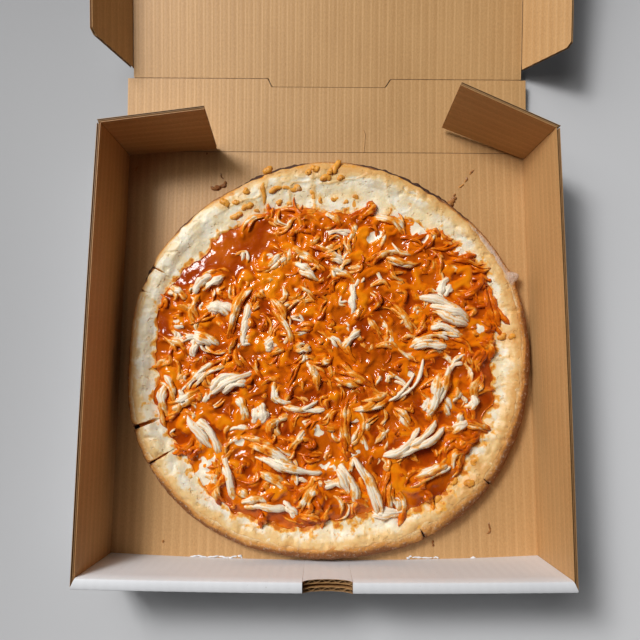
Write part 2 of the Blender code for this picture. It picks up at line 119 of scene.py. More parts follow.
add_area_light("core", KEY_FROM, KEY_DISTANCE, CORE_SIZE, CORE_POWER)
veil = add_area_light("veil", KEY_FROM, KEY_DISTANCE, VEIL_SIZE, VEIL_POWER)
veil.visible_glossy = False
world = bpy.data.worlds.new("sky")
world.use_nodes = True
backdrop = world.node_tree.nodes["Background"]
backdrop.inputs["Color"].default_value = (*SKY_COLOUR, 1.0)
backdrop.inputs["Strength"].default_value = SKY
bpy.context.scene.world = world
print("lamps of", CORE_POWER, "and", VEIL_POWER, "watts")

# %% [markdown]
# ## Shader maths
#
# A finish is easier to read as sums than as wires. One small class wraps a socket, so that
# `1 - mask * 0.5` adds its Math nodes by itself. Any other node comes from one method.


# %% Value and Finish
class Value:
    """A number or colour that comes out of a shader node."""

    def __init__(self, finish, socket):
        self.finish = finish
        self.socket = socket

    def __add__(self, other):
        return self.finish.maths("ADD", self, other)

    def __sub__(self, other):
        return self.finish.maths("SUBTRACT", self, other)

    def __rsub__(self, other):
        return self.finish.maths("SUBTRACT", other, self)

    def __mul__(self, other):
        return self.finish.maths("MULTIPLY", self, other)

    __radd__ = __add__
    __rmul__ = __mul__


class Finish:
    """A material under construction."""

    def __init__(self, name, **fixed):
        self.material = bpy.data.materials.new(name)
        self.material.use_nodes = True
        self.tree = self.material.node_tree
        self.shader = self.tree.nodes["Principled BSDF"]
        for key, value in fixed.items():
            self.shader.inputs[key.replace("_", " ")].default_value = value

    def node(self, kind, links=(), out=0, stops=None, **settings):
        """Add a node: its settings first, then the values or links of its sockets."""
        made = self.tree.nodes.new("ShaderNode" + kind)
        for key, value in settings.items():
            setattr(made, key, value)
        if stops:
            ramp = made.color_ramp
            while len(ramp.elements) < len(stops):
                ramp.elements.new(1.0)
            for element, (position, colour) in zip(ramp.elements, stops):
                element.position = position
                element.color = (*colour, 1.0)
        for key, value in dict(links).items():
            self.connect(made.inputs[key], value)
        return Value(self, made.outputs[out])

    def connect(self, socket, value):
        """Feed a socket by a wire from a value, or set it to a number or colour."""
        if isinstance(value, Value):
            self.tree.links.new(value.socket, socket)
        else:
            socket.default_value = value

    def maths(self, operation, first, second):
        """One Math node on two values or numbers."""
        return self.node("Math", {0: first, 1: second}, operation=operation)

    def step(self, value, low, high):
        """0 below low, 1 above high, and a smooth curve between."""
        return self.node("MapRange", {"Value": value, "From Min": low, "From Max": high},
                         interpolation_type="SMOOTHSTEP")

    def mix(self, share, first, second):
        """One colour fading into another."""
        colour = {6: first, 7: second, 0: share}
        links = {k: (*v, 1.0) if isinstance(v, tuple) else v for k, v in colour.items()}
        return self.node("Mix", links, out=2, data_type="RGBA")

    def fade(self, tone, value, low, high, colour):
        """The tone turns into a colour where a value climbs from low to high."""
        return self.mix(self.step(value, low, high), tone, colour)

    def noise(self, scale, detail=2.0, rough=0.5, where=None):
        """Cloudy noise with features about 1 / scale metres across."""
        links = {"Vector": where or self.places(), "Scale": scale, "Detail": detail, "Roughness": rough}
        return self.node("TexNoise", links)

    def places(self):
        """The surface's own coordinates, in metres."""
        return self.node("TexCoord", out="Object")

    def attribute(self, name):
        """A number that numpy worked out for every point of the mesh."""
        return self.node("Attribute", out="Fac", attribute_name=name)

    def set(self, **sockets):
        """Link or set sockets of the surface shader."""
        for key, value in sockets.items():
            self.connect(self.shader.inputs[key.replace("_", " ")], value)

    def bump(self, height, distance):
        """Fine relief: a height from 0 to 1 stands for a distance in metres."""
        links = {"Height": height, "Distance": distance}
        self.connect(self.shader.inputs["Normal"], self.node("Bump", links))


# %% [markdown]
# ## Meshes from arrays
#
# Every new piece is a surface worked out with numpy. One function puts an array of points and
# arrays of faces into a mesh. If the faces turn out to enclose a negative volume, they look
# inwards, and all of them are turned over.


# %% From arrays to a mesh
def signed_volume(points, groups):
    """Volume inside the faces: each face gives a sixth of the determinant of its fan triangles."""
    total = 0.0
    for faces in groups:
        for k in range(1, faces.shape[1] - 1):
            a, b, c = points[faces[:, 0]], points[faces[:, k]], points[faces[:, k + 1]]
            total += np.einsum("ij,ij->", a, np.cross(b, c)) / 6.0
    return total


def make_piece(name, points, groups, finishes, body, node, which=None, flat=None, values=None):
    """A mesh object from points in millimetres and groups of faces with equal corner counts."""
    points = np.asarray(points, dtype=float).reshape(-1, 3)
    if signed_volume(points, groups) < 0.0:
        groups = [faces[:, ::-1] for faces in groups]
    corners = np.concatenate([faces.ravel() for faces in groups])
    sizes = np.concatenate([np.full(len(faces), faces.shape[1]) for faces in groups])
    mesh = bpy.data.meshes.new(name)
    mesh.vertices.add(len(points))
    mesh.vertices.foreach_set("co", (points * MM).ravel())
    mesh.loops.add(len(corners))
    mesh.loops.foreach_set("vertex_index", corners.astype(np.int32))
    mesh.polygons.add(len(sizes))
    mesh.polygons.foreach_set("loop_start", (np.cumsum(sizes) - sizes).astype(np.int32))
    for finish in finishes:
        mesh.materials.append(finish.material)
    if which is not None:
        mesh.polygons.foreach_set("material_index", which.astype(np.int32))
    if flat is not None:
        layer = mesh.uv_layers.new(name="board")
        layer.data.foreach_set("uv", (flat[corners] * MM).astype(np.float32).ravel())
    mesh.update(calc_edges=True)
    for key, numbers in (values or {}).items():
        attribute = mesh.attributes.new(key, "FLOAT", "POINT")
        attribute.data.foreach_set("value", np.asarray(numbers, dtype=np.float32).ravel())
    mesh.shade_smooth()
    piece = bpy.data.objects.new(name, mesh)
    bpy.context.scene.collection.objects.link(piece)
    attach(piece, body)
    if node:
        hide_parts(node)
    print(name, len(points), "points,", int((sizes - 2).sum()), "triangles")
    return piece


def grid_faces(rows, columns, start=0, closed=False):
    """Four-cornered faces between neighbouring points of a grid; closed joins last row to first."""
    index = start + np.arange(rows * columns).reshape(rows, columns)
    if closed:
        index = np.concatenate([index, index[:1]])
    return np.stack([index[:-1, :-1], index[1:, :-1], index[1:, 1:], index[:-1, 1:]], -1).reshape(-1, 4)


# %% [markdown]
# ## Noise in numpy
#
# Dough, cheese and sauce are lumpy at several sizes at once. A table of random numbers on a
# lattice, blended smoothly between its corners, gives lumps of one size. Halving the size again
# and again and adding the layers gives the rest.

# %% Lattice noise
LATTICE = 32
lattice_table = np.random.default_rng(7).random((LATTICE, LATTICE, LATTICE))
print("lattice of", lattice_table.size, "numbers")


def unit(values):
    """Shares: what is below 0 becomes 0 and what is above 1 becomes 1."""
    return np.clip(values, 0.0, 1.0)


def lumps(points, size, layers=1, shift=0.0):
    """Noise from -1 to 1: trilinear blend of lattice numbers with s = 3t^2 - 2t^3, summed over layers."""
    total = np.zeros(points.shape[:-1])
    weight = 0.0
    for layer in range(layers):
        scaled = points / (size * 0.5 ** layer) + shift + 11.3 * layer
        cell = np.floor(scaled).astype(int)
        share = scaled - cell
        share = share * share * (3.0 - 2.0 * share)
        value = 0.0
        for corner in np.ndindex(2, 2, 2):
            spot = (cell + corner) % LATTICE
            part = np.prod(np.where(np.array(corner) == 1, share, 1.0 - share), axis=-1)
            value = value + part * lattice_table[spot[..., 0], spot[..., 1], spot[..., 2]]
        total += (2.0 * value - 1.0) * 0.5 ** layer
        weight += 0.5 ** layer
    return total / weight


# %% [markdown]
# ## Corrugated board
#
# Board is three papers: two flat liners and a wavy one between them, the flute. Here each sheet
# is really made of the three, so that the cut edges show the waves and no texture has to fake
# them. A panel is given by its two faces, as grids with the same number of points. A paper lies
# at some share of the way from one face to the other, and the flute's share swings like a sine.

# %% Kraft, flute and white papers
FLUTE_PITCH = 6.5


def kraft_finish(name, colour, dark):
    """Brown paper: fine fibres, faint streaks along the flutes, painted light on each flute's crest and
    painted shade between, cloudy tone.
    """
    finish = Finish(name, Roughness=0.55, Specular_IOR_Level=0.65)
    flat = finish.node("UVMap", uv_map="board")
    parts = finish.tree.nodes.new("ShaderNodeSeparateXYZ")
    finish.connect(parts.inputs[0], flat)
    across = Value(finish, parts.outputs[0])
    wave = finish.maths("SINE", across * (2.0 * math.pi / (FLUTE_PITCH * MM)), 0.0)
    ridge = finish.maths("POWER", wave * 0.5 + 0.5, 5.0)
    stretched = finish.node("VectorMath", {0: flat, 1: (1.0, 0.05, 1.0)}, operation="MULTIPLY")
    bands = finish.noise(260.0, 2.0, where=stretched)
    fibre = finish.node("VectorMath", {0: flat, 1: (1.0, 0.5, 1.0)}, operation="MULTIPLY")
    fibres = finish.noise(1000.0, 3.0, 0.8, where=fibre)
    clouds = finish.noise(14.0, 3.0)
    # Painted light and shade: the ridge and wave terms make the paper lighter over each flute's crest and
    # darker between; fibres, streaks and clouds are the paper's own tone.
    tone_and_flute_shading = ridge * 0.12 + wave * 0.04 + (bands - 0.5) * 0.4
    tone_and_flute_shading = tone_and_flute_shading + (fibres - 0.5) * 1.1 + (clouds - 0.5) * 0.5 + 0.5
    finish.set(Base_Color=finish.fade(dark, tone_and_flute_shading, 0.0, 1.0, colour))
    finish.bump(fibres * 0.7 + ridge * 0.8, 0.00016)
    return finish


def white_finish():
    """Bleached outer paper: slightly uneven, with small scuffs."""
    finish = Finish("white_board", Roughness=0.6, Specular_IOR_Level=0.35)
    clouds = finish.noise(30.0, 4.0)
    specks = finish.step(finish.noise(700.0, 2.0), 0.70, 0.76)
    tone = finish.mix(clouds, (0.77, 0.775, 0.795), (0.85, 0.855, 0.87))
    finish.set(Base_Color=finish.mix(specks * 0.35, tone, (0.45, 0.40, 0.35)))
    finish.bump(finish.noise(1200.0, 3.0), 0.00006)
    return finish


kraft = kraft_finish("kraft", (0.655, 0.380, 0.158), (0.45, 0.235, 0.080))
flute = kraft_finish("flute", (0.50, 0.29, 0.13), (0.30, 0.16, 0.06))
# Painted shade: the crease bars' brown is much darker than the kraft, for the shade in the folds as well as
# the squashed paper.
crushed_and_shaded = kraft_finish("crushed_and_shaded", (0.33, 0.18, 0.075), (0.16, 0.08, 0.03))
white = white_finish()
print("papers:", [finish.material.name for finish in (kraft, flute, crushed_and_shaded, white)])

# %% A sheet of three papers
LINER = 0.11              # share of the thickness that each liner takes
FLUTE_SWING = 0.33        # how far the flute's middle swings, as a share
FLUTE_PAPER = 0.09
RIPPLE = 0.05             # the inner liner sinks this share between the flute's crests
RIPPLE_OUTSIDE = 0.02     # and the white one this share
COLUMNS_PER_FLUTE = 8
SHARP_ANGLE = 35.0        # edges between faces that turn more than this stay sharp
TOUCH_GAP = 0.3           # gap between boards that touch


def paper(inner, outer, low, high):
    """A closed thin solid between two shares of the way from the inner to the outer face."""
    n, m = inner.shape[:2]
    points = [inner + (outer - inner) * share[..., None] for share in (low, high)]
    index = np.arange(n * m).reshape(n, m)
    rim = np.concatenate([index[:-1, 0], index[-1, :-1], index[:0:-1, -1], index[0, :0:-1]])
    ahead = np.roll(rim, -1)
    sides = np.stack([rim, ahead, ahead + n * m, rim + n * m], -1)
    faces = np.concatenate([grid_faces(n, m)[:, ::-1], grid_faces(n, m, n * m), sides])
    points = np.concatenate([p.reshape(-1, 3) for p in points])
    if signed_volume(points, [faces]) < 0.0:
        faces = faces[:, ::-1]
    return points, faces, len(sides)


def corrugated(name, panels, body, node):
    """Join the papers of one or more panels: (inner face, outer face, across, along) each."""
    finishes = [kraft, flute, white]
    points, faces, which, flat = [], [], [], []
    count = 0
    for inner, outer, across, along in panels:
        across = np.broadcast_to(across, inner.shape[:2])
        along = np.broadcast_to(along, inner.shape[:2])
        wave = np.sin(2.0 * np.pi * across / FLUTE_PITCH)
        near = RIPPLE * (0.5 + 0.5 * wave)
        far = 1.0 - RIPPLE_OUTSIDE * (0.5 - 0.5 * wave)
        middle = 0.5 - FLUTE_SWING * wave
        papers = ((near, near + LINER), (middle - FLUTE_PAPER / 2, middle + FLUTE_PAPER / 2),
                  (far - LINER, far))
        for kind, (low, high) in enumerate(papers):
            paper_points, paper_faces, edge = paper(inner, outer, low, high)
            points.append(paper_points)
            faces.append(paper_faces + count)
            sheet = (len(paper_faces) - edge) // 2
            which.append(np.repeat([min(kind, 1), kind, min(kind, 1)], [sheet, sheet, edge]))
            flat.append(np.tile(np.stack([across, along], -1).reshape(-1, 2), (2, 1)))
            count += len(paper_points)
    piece = make_piece(name, np.concatenate(points), [np.concatenate(faces)], finishes, body, node,
                       np.concatenate(which), np.concatenate(flat))
    piece.data.set_sharp_from_angle(angle=math.radians(SHARP_ANGLE))
    return piece


def columns(start, end, per_flute=COLUMNS_PER_FLUTE):
    """Distances across the flutes, evenly spaced."""
    flutes = abs(end - start) / FLUTE_PITCH
    return np.linspace(start, end, max(2, int(round(flutes * per_flute)) + 1))


# %% [markdown]
# ## The tray
#
# Floor and side walls are one sheet that runs up, across and up again. The flutes run from front
# to back, so the walls' top edges are cut along them. The front wall is the same board, rolled
# over itself: white outside, over the top and down inside again. Its thumb notch is a pair of
# oval cuts, one through each ply, and there the flutes lie open.

# %% Sizes of the tray, as in the solids
BOARD = 2.6
HALF_WIDTH = 152.5
WALL_HEIGHT = 55.5
CREASE_Y = 150.6
CREASE_GAP = 0.3
FRONT_Y = -149.0
FRONT_BOW_FOOT = 4.2
FRONT_BOW_TOP = 1.4
FRONT_DEPTH = 7.2
FRONT_RISE = 0.7
FOLD_RADIUS = 1.6
ROLL_TAPER = 30.0         # the rolled wall narrows over this length at both ends
WALL_REACH = 5.4          # the side walls end this far in front of the front wall's inner face
WALL_BOW = 0.7
WALL_LEAN = {-1: (2.4, 1.7), 1: (1.5, 3.2)}
CORNER_Y = {-1: 147.2, 1: 145.6}
NOTCH_X = 1.6
NOTCH_HALF = 15.5
NOTCH_DEPTH = 7.0
NOTCH_COLUMNS = 12        # columns a flute in the notch, where the cut is curved
WALL_TOP = BOARD + WALL_HEIGHT
FRONT_TOP = WALL_TOP + FRONT_RISE
print("tray", 2.0 * HALF_WIDTH, "wide inside, its front wall", round(FRONT_TOP, 1), "high")


def wall_lean(side, y):
    """How far a wall's top leans out at a place along it."""
    front, rear = WALL_LEAN[side]
    share = (y - FRONT_Y) / (CREASE_Y - FRONT_Y)
    return front + (rear - front) * share + WALL_BOW * np.sin(np.pi * unit(share))


def front_face(x, height):
    """Y of the front wall's inner face: it bows outwards as 1 - (2x / width)^2."""
    bow = FRONT_BOW_FOOT + (FRONT_BOW_TOP - FRONT_BOW_FOOT) * height / WALL_TOP
    return FRONT_Y - bow * (1.0 - (x / HALF_WIDTH) ** 2)


# %% Floor and side walls
def tray_panels():
    """Three panels that meet at the folds: floor, left wall and right wall."""
    rows = np.linspace(0.0, 1.0, 16)
    share = columns(-1.0 * HALF_WIDTH, HALF_WIDTH) / HALF_WIDTH
    panels = []
    faces = []
    sides = ((HALF_WIDTH, BOARD, FRONT_DEPTH - BOARD), (HALF_WIDTH + BOARD, 0.0, FRONT_DEPTH))
    for half, level, back_off in sides:
        x = (share * half)[:, None] + 0.0 * rows
        front = (front_face(share * HALF_WIDTH, 0.0) - back_off)[:, None]
        y = front + (CREASE_Y - CREASE_GAP - front) * rows
        faces.append(np.stack([x, y, np.full_like(x, level)], -1))
    panels.append((faces[0], faces[1], (share * HALF_WIDTH)[:, None], faces[0][..., 1]))
    for side in (-1, 1):
        height = columns(0.0, WALL_HEIGHT) / WALL_HEIGHT
        y = FRONT_Y - WALL_REACH + (CORNER_Y[side] - TOUCH_GAP - FRONT_Y + WALL_REACH) * rows
        lean = wall_lean(side, y)[None, :] * height[:, None]
        y = np.broadcast_to(y, lean.shape)
        up = height[:, None] + 0.0 * y
        inner = np.stack([side * (HALF_WIDTH + lean), y, BOARD + WALL_HEIGHT * up], -1)
        outer = np.stack([side * (HALF_WIDTH + BOARD + lean), y, WALL_TOP * up], -1)
        panels.append((inner, outer, side * (HALF_WIDTH + WALL_HEIGHT * height)[:, None], y))
    return panels


walls = tray_panels()
print("floor and side walls of", [panel[0].shape[:2] for panel in walls], "points")


# %% The rolled front wall
def front_ply(across, path, shares):
    """One stretch of the front wall: each face lies at a depth and height read off the path."""
    across = across[:, None]
    numbers = [np.interp(shares, path[:, 0], path[:, k]) for k in range(1, 5)]
    faces = []
    for depth, height in ((numbers[0], numbers[1]), (numbers[2], numbers[3])):
        lean = np.where(across < 0.0, WALL_LEAN[-1][0], WALL_LEAN[1][0]) * height / WALL_TOP
        near_end = unit((np.abs(across) - HALF_WIDTH + ROLL_TAPER) / ROLL_TAPER)
        inward = BOARD * near_end * unit(1.0 - depth / (0.8 * FRONT_DEPTH))
        x = across * (1.0 + lean / (HALF_WIDTH + BOARD)) - np.sign(across) * inward
        faces.append(np.stack([x, front_face(x, height) - depth, height + 0.0 * x], -1))
    white_face, kraft_face = faces
    return kraft_face, white_face, across, shares[None, :] * 1.0


def front_panels():
    """Four stretches: left and right of the notch over the whole path, and the two plies under it."""
    r = FOLD_RADIUS
    inside = FRONT_TOP - BOARD
    # distance along the path, then depth and height of the white face and of the kraft face
    nodes = ((0.0, FRONT_DEPTH, 0.0, FRONT_DEPTH - BOARD, BOARD),
             (55.0, FRONT_DEPTH, FRONT_TOP - r, FRONT_DEPTH - BOARD, inside - 0.6),
             (56.2, FRONT_DEPTH - 0.3 * r, FRONT_TOP - 0.3 * r, FRONT_DEPTH - BOARD, inside - 0.2),
             (57.4, FRONT_DEPTH - r, FRONT_TOP, FRONT_DEPTH - BOARD - 0.3, inside),
             (61.0, r, FRONT_TOP, BOARD + 0.3, inside),
             (62.2, 0.3 * r, FRONT_TOP - 0.3 * r, BOARD, inside - 0.2),
             (63.4, 0.0, FRONT_TOP - r, BOARD, inside - 0.6),
             (118.0, 0.0, BOARD, BOARD, BOARD))
    path = np.array(nodes)
    shares = np.unique(np.concatenate([np.linspace(0.0, 55.0, 7), path[:, 0],
                                       np.linspace(63.4, 118.0, 7)]))
    end = HALF_WIDTH + BOARD - TOUCH_GAP
    stretches = [front_ply(columns(-end, NOTCH_X - NOTCH_HALF), path, shares),
                 front_ply(columns(NOTCH_X + NOTCH_HALF, end), path, shares)]
    across = columns(NOTCH_X - NOTCH_HALF, NOTCH_X + NOTCH_HALF, NOTCH_COLUMNS)[:, None]
    oval = np.sqrt(unit(1.0 - ((across - NOTCH_X) / NOTCH_HALF) ** 2))
    cut = FRONT_TOP - NOTCH_DEPTH * oval
    rows = np.linspace(0.0, 1.0, 8)
    for white_depth, kraft_depth in ((FRONT_DEPTH, FRONT_DEPTH - BOARD), (0.0, BOARD)):
        height = BOARD + (cut - FOLD_RADIUS * 0.2 - BOARD) * rows
        faces = [np.stack([across + 0.0 * rows, front_face(across, height) - depth, height], -1)
                 for depth in (white_depth, kraft_depth)]
        stretches.append((faces[1], faces[0], across, height))
    return stretches


corrugated("tray_board", walls + front_panels(), "tray", "tray")

# %% [markdown]
# ## Flaps, back wall and lid
#
# All of these are flat panels that turn about a crease, so each is drawn flat, in its own plane,
# and carried to its place by the angles that the solids have. A panel's end may follow any line:
# the tab of the lid and the recess that it was cut from are just ends that step in and out.

# %% Sizes of the moving panels
CORNER_LENGTH = 68.0
CORNER_TOP_EXTRA = 3.0
CORNER_FOOT = 0.8
CORNER_RISE = {-1: 1.6, 1: 5.8}
CORNER_ANGLE = {-1: (3.5, 8.0), 1: (19.4, 25.0)}
PANEL_LENGTH = 57.7
PANEL_HALF = 155.0
PANEL_TILT = 5.5
LID_X = 0.5
LID_HALF = 151.2
LID_LENGTH = 296.0
LID_TILT = 9.0
TAB_DEPTH = 6.2
TAB_FOOT = (-46.0, 49.0)
TAB_TIP = (-43.0, 44.8)
TAB_GAP = 0.5
FLAP_HEIGHT = 40.0
FLAP_START = 8.0
FLAP_END = 288.0
FLAP_CHAMFER = 3.0
FLAP_SLANT = {-1: 11.0, 1: 5.0}    # how far the near end's tip lies behind its foot
FLAP_ANGLE = {-1: 64.0, 1: 52.0}
FRONT_FLAP_HEIGHT = 38.0
FRONT_FLAP_HALF = (147.0, 140.0)
FRONT_FLAP_ANGLE = 60.0
FRONT_FLAP_CORNER = 8.0
ROWS = {"corner": 10, "back": 8, "lid": 12, "side": 12, "front": 6}    # points along each panel
print("lid", 2.0 * LID_HALF, "by", LID_LENGTH, "and the back wall", PANEL_LENGTH, "high")

# %% Corner flaps
def corner_panel(side):
    """A corner flap: height along the slanting fold, distance along a direction that turns with height."""
    lean = float(wall_lean(side, np.array(CORNER_Y[side])))
    fold = np.array([side * lean, 0.0, WALL_TOP])
    fold /= np.linalg.norm(fold)
    foot = np.array([side * HALF_WIDTH, CORNER_Y[side], BOARD])
    share = (columns(0.0, WALL_HEIGHT) / WALL_HEIGHT)[:, None]
    low_angle, high_angle = CORNER_ANGLE[side]
    angle = np.radians(low_angle + (high_angle - low_angle) * share)
    zero = np.zeros_like(angle)
    along = np.stack([-side * np.cos(angle), np.sin(angle), zero], -1)
    behind = np.stack([side * np.sin(angle), np.cos(angle), zero], -1)
    length = CORNER_LENGTH + CORNER_TOP_EXTRA * share
    rows = np.linspace(0.0, 1.0, ROWS["corner"])
    faces = []
    for start, depth in ((0.0, 0.0), (-BOARD, BOARD)):
        distance = start + (length - start) * rows
        low = CORNER_FOOT + CORNER_RISE[side] * np.clip(distance, 0.0, None) / CORNER_LENGTH
        height = low + (WALL_HEIGHT - low) * share
        on_fold = foot + fold * (height / fold[2])[..., None]
        faces.append(on_fold + along * distance[..., None] + behind * depth)
    return faces[0], faces[1], WALL_HEIGHT * share, faces[0][..., 0]


# %% Back wall, lid and its flaps
def tilt_about_x(points, degrees, place):
    """Turn points about the X axis through the origin, then move them."""
    c, s = math.cos(math.radians(degrees)), math.sin(math.radians(degrees))
    x, y, z = points[..., 0], points[..., 1], points[..., 2]
    return np.stack([x, c * y - s * z, s * y + c * z], -1) + np.array(place)


LID_CREASE = tilt_about_x(np.array([LID_X, PANEL_LENGTH, 0.0]), PANEL_TILT, (0.0, CREASE_Y, BOARD))
print("the lid's crease lies", round(float(LID_CREASE[2]), 2), "above the table")


def flat_panel(across, near, far, rows, place):
    """A panel between two ends: its faces at w = 0 and w = -BOARD, carried by place."""
    across = across[:, None]
    along = near[:, None] + (far - near)[:, None] * np.linspace(0.0, 1.0, rows)
    faces = []
    for w in (0.0, -BOARD):
        flat = np.stack([across + 0.0 * along, along, np.full_like(along, w)], -1)
        faces.append(place(flat))
    return faces[0], faces[1], across, along


def lid_plane(points):
    """From the lid's own flat drawing to its tilted place."""
    return tilt_about_x(points, LID_TILT, LID_CREASE)


def back_panel():
    """The back wall; its far end steps in where the lid's tab was cut out."""
    across = columns(-PANEL_HALF, PANEL_HALF)
    edge = PANEL_LENGTH - CREASE_GAP
    deep = PANEL_LENGTH - TAB_DEPTH - TAB_GAP
    left, right = LID_X - TAB_GAP, LID_X + TAB_GAP
    corners = (TAB_FOOT[0] + left, TAB_TIP[0] + left, TAB_TIP[1] + right, TAB_FOOT[1] + right)
    far = np.interp(across, corners, (edge, deep, deep, edge))
    return flat_panel(across, np.full_like(across, CREASE_GAP), far, ROWS["back"],
                      lambda p: tilt_about_x(p, PANEL_TILT, (0.0, CREASE_Y, BOARD)))


def lid_panel():
    """The lid with its tab."""
    across = columns(-LID_HALF + CREASE_GAP, LID_HALF - CREASE_GAP)
    near = np.interp(across, (TAB_FOOT[0], TAB_TIP[0], TAB_TIP[1], TAB_FOOT[1]),
                     (CREASE_GAP, -TAB_DEPTH, -TAB_DEPTH, CREASE_GAP))
    far = np.full_like(across, LID_LENGTH - CREASE_GAP)
    return flat_panel(across, near, far, ROWS["lid"], lid_plane)


def side_flap(side):
    """A lid side flap, turned up about the lid's side crease."""
    height = columns(CREASE_GAP, FLAP_HEIGHT)
    cut = np.clip(height - (FLAP_HEIGHT - FLAP_CHAMFER), 0.0, None)
    turn = math.radians(FLAP_ANGLE[side])

    def place(flat):
        """Turn the flap about its crease in the lid's drawing, then carry it with the lid."""
        u, v, w = flat[..., 0], flat[..., 1], flat[..., 2]
        x = side * (LID_HALF + u * math.cos(turn) - w * math.sin(turn))
        return lid_plane(np.stack([x, v, u * math.sin(turn) + w * math.cos(turn)], -1))

    slant = FLAP_SLANT[side] * height / FLAP_HEIGHT
    return flat_panel(height, FLAP_START + slant + cut, FLAP_END - cut, ROWS["side"], place)


def front_flap():
    """The lid's front flap, with its outer corners cut off."""
    near, far = FRONT_FLAP_HALF
    across = columns(-near, near)
    cut = FRONT_FLAP_CORNER
    heights = (FRONT_FLAP_HEIGHT, FRONT_FLAP_HEIGHT - cut, 2.0 * CREASE_GAP)
    end = np.interp(np.abs(across), (far - cut, far, near), heights)
    return flat_panel(across, np.full_like(across, CREASE_GAP), end, ROWS["front"],
                      lambda p: lid_plane(tilt_about_x(p, FRONT_FLAP_ANGLE, (0.0, LID_LENGTH, 0.0))))


# %% Crushed creases, darkened with painted shade
CREASE_ROLL = 1.05        # radius of the bar in a crease
ROLL_SIDES = 10
ROLL_STATIONS = 40
OBLIQUE = (0.3, 0.5, 0.81)    # a direction that no crease follows
BAR_END = 1.0             # a bar ends this far before its panel
CORNER_BAR = (1.1, 0.9, 0.8)    # outside the wall's inner face, behind the fold, below the top
TEAR_ROLL = 0.4           # radius of the torn ridge on the back wall
# its three stretches: place across and along the back wall at the start and at the end
PANEL_TEAR = ((29.0, 0.4, 29.8, 8.5), (29.6, 8.0, 30.2, 15.0), (30.0, 14.5, 28.8, 17.5))


def crease(name, start, end, body, finish=None, roll=CREASE_ROLL):
    """The dark strip in a fold, of squashed paper and painted shade: a round bar from start to end, its
    radius swinging along it.
    """
    start, end = np.array(start, dtype=float), np.array(end, dtype=float)
    t = np.linspace(0.0, 1.0, ROLL_STATIONS)
    ahead = (end - start) / np.linalg.norm(end - start)
    side = np.cross(ahead, np.array(OBLIQUE))
    side /= np.linalg.norm(side)
    up = np.cross(side, ahead)
    turn = 2.0 * np.pi * np.arange(ROLL_SIDES) / ROLL_SIDES
    middle = start + t[:, None] * (end - start)
    radius = roll * (1.0 + 0.08 * np.sin(40.0 * t) + 0.06 * np.sin(97.0 * t))
    ring = side * np.cos(turn)[:, None] + up * np.sin(turn)[:, None]
    points = middle[:, None, :] + radius[:, None, None] * ring[None, :, :]
    index = np.arange(len(t) * ROLL_SIDES).reshape(len(t), ROLL_SIDES)
    next_one = np.roll(index, -1, axis=1)
    sides = np.stack([index[:-1], next_one[:-1], next_one[1:], index[1:]], -1).reshape(-1, 4)
    along = np.repeat(t * np.linalg.norm(end - start), ROLL_SIDES)
    flat = np.stack([np.tile(turn * roll, len(t)), along], -1)
    ends = np.stack([index[0, ::-1], index[-1]])
    make_piece(name, points, [sides, ends], [finish or crushed_and_shaded], body, None, flat=flat)


def in_lid(ends):
    """Both ends of a bar, from the lid's drawing to the middle of its tilted board."""
    return lid_plane(np.array([(across, along, -0.5 * BOARD) for across, along in ends]))


def make_creases():
    """Bars in every fold, under the inner papers."""
    outside, behind, below = CORNER_BAR
    for side, word in ((-1, "left"), (1, "right")):
        lean = float(wall_lean(side, np.array(CORNER_Y[side])))
        foot = np.array([side * (HALF_WIDTH + outside), CORNER_Y[side] + behind, BOARD])
        top = foot + (side * lean, 0.0, WALL_HEIGHT - below)
        crease("corner_crease_" + word, foot, top, "corner_flap_" + word)
        ends = in_lid([(side * LID_HALF, FLAP_START), (side * LID_HALF, FLAP_END)])
        crease("lid_flap_crease_" + word, *ends, "lid_flap_" + word)
    y = CREASE_Y - 0.1
    half = PANEL_HALF - BAR_END
    crease("floor_crease", (-half, y, 0.5 * BOARD), (half, y, 0.5 * BOARD), "back_wall")
    half = LID_HALF - BAR_END
    for word, left, right in (("left", -half, TAB_FOOT[0]), ("right", TAB_FOOT[1], half)):
        crease("lid_crease_" + word, *in_lid([(left, 0.0), (right, 0.0)]), "lid")
    for k, (x0, v0, x1, v1) in enumerate(PANEL_TEAR):
        ends = np.array([[x0, v0, -0.1], [x1, v1, 0.1]])
        ends = tilt_about_x(ends, PANEL_TILT, (0.0, CREASE_Y, BOARD))
        crease("panel_tear_%d" % k, *ends, "back_wall", kraft, TEAR_ROLL)
    half = FRONT_FLAP_HALF[0] - BAR_END
    crease("front_flap_crease", *in_lid([(-half, LID_LENGTH), (half, LID_LENGTH)]), "lid_front_flap")


# %% Make the panels
make_creases()
for side, word in ((-1, "left"), (1, "right")):
    flap = "corner_flap_" + word
    corrugated("corner_flap_board_" + word, [corner_panel(side)], flap, flap)
    flap = "lid_flap_" + word
    corrugated("lid_flap_board_" + word, [side_flap(side)], flap, flap)
corrugated("back_board", [back_panel()], "back_wall", "back_panel")
corrugated("lid_board", [lid_panel()], "lid", "lid")
corrugated("lid_front_board", [front_flap()], "lid_front_flap", "lid_front_flap")

# %% [markdown]
# ## The crust
#
# A thin hand-stretched base: the rim is low, uneven and full of small pits. Its shape is a
# section carried round an outline that is not quite a circle. Angles are packed closer together
# at the wheel's cuts, so that the narrow cracks stay sharp.

# %% Outline helpers
PIZZA = np.array([1.7, -8.0, 0.0])
SAUCE_TOP = 13.9
# radius of the crust and of the sauce, at even steps round the pizza from +X through +Y
RIM_RADII = (147.8, 149.4, 148.5, 147.8, 148.8, 148.1, 145.9, 147.4, 147.3,
             146.1, 150.0, 150.2, 147.6, 143.5, 143.0, 146.1, 148.3, 147.8)
SAUCE_RADII = (120.8, 128.2, 128.5, 117.0, 108.6, 111.5, 119.9, 120.0, 126.6,
               126.5, 126.3, 125.2, 127.8, 122.5, 113.9, 123.7, 123.6, 122.4)


def catmull_rom(a, b, c, d, t):
    """The smooth cubic from b to c, with slopes taken from the points before and after them."""
    return b + 0.5 * t * (c - a + t * (2 * a - 5 * b + 4 * c - d + t * (3 * (b - c) + d - a)))


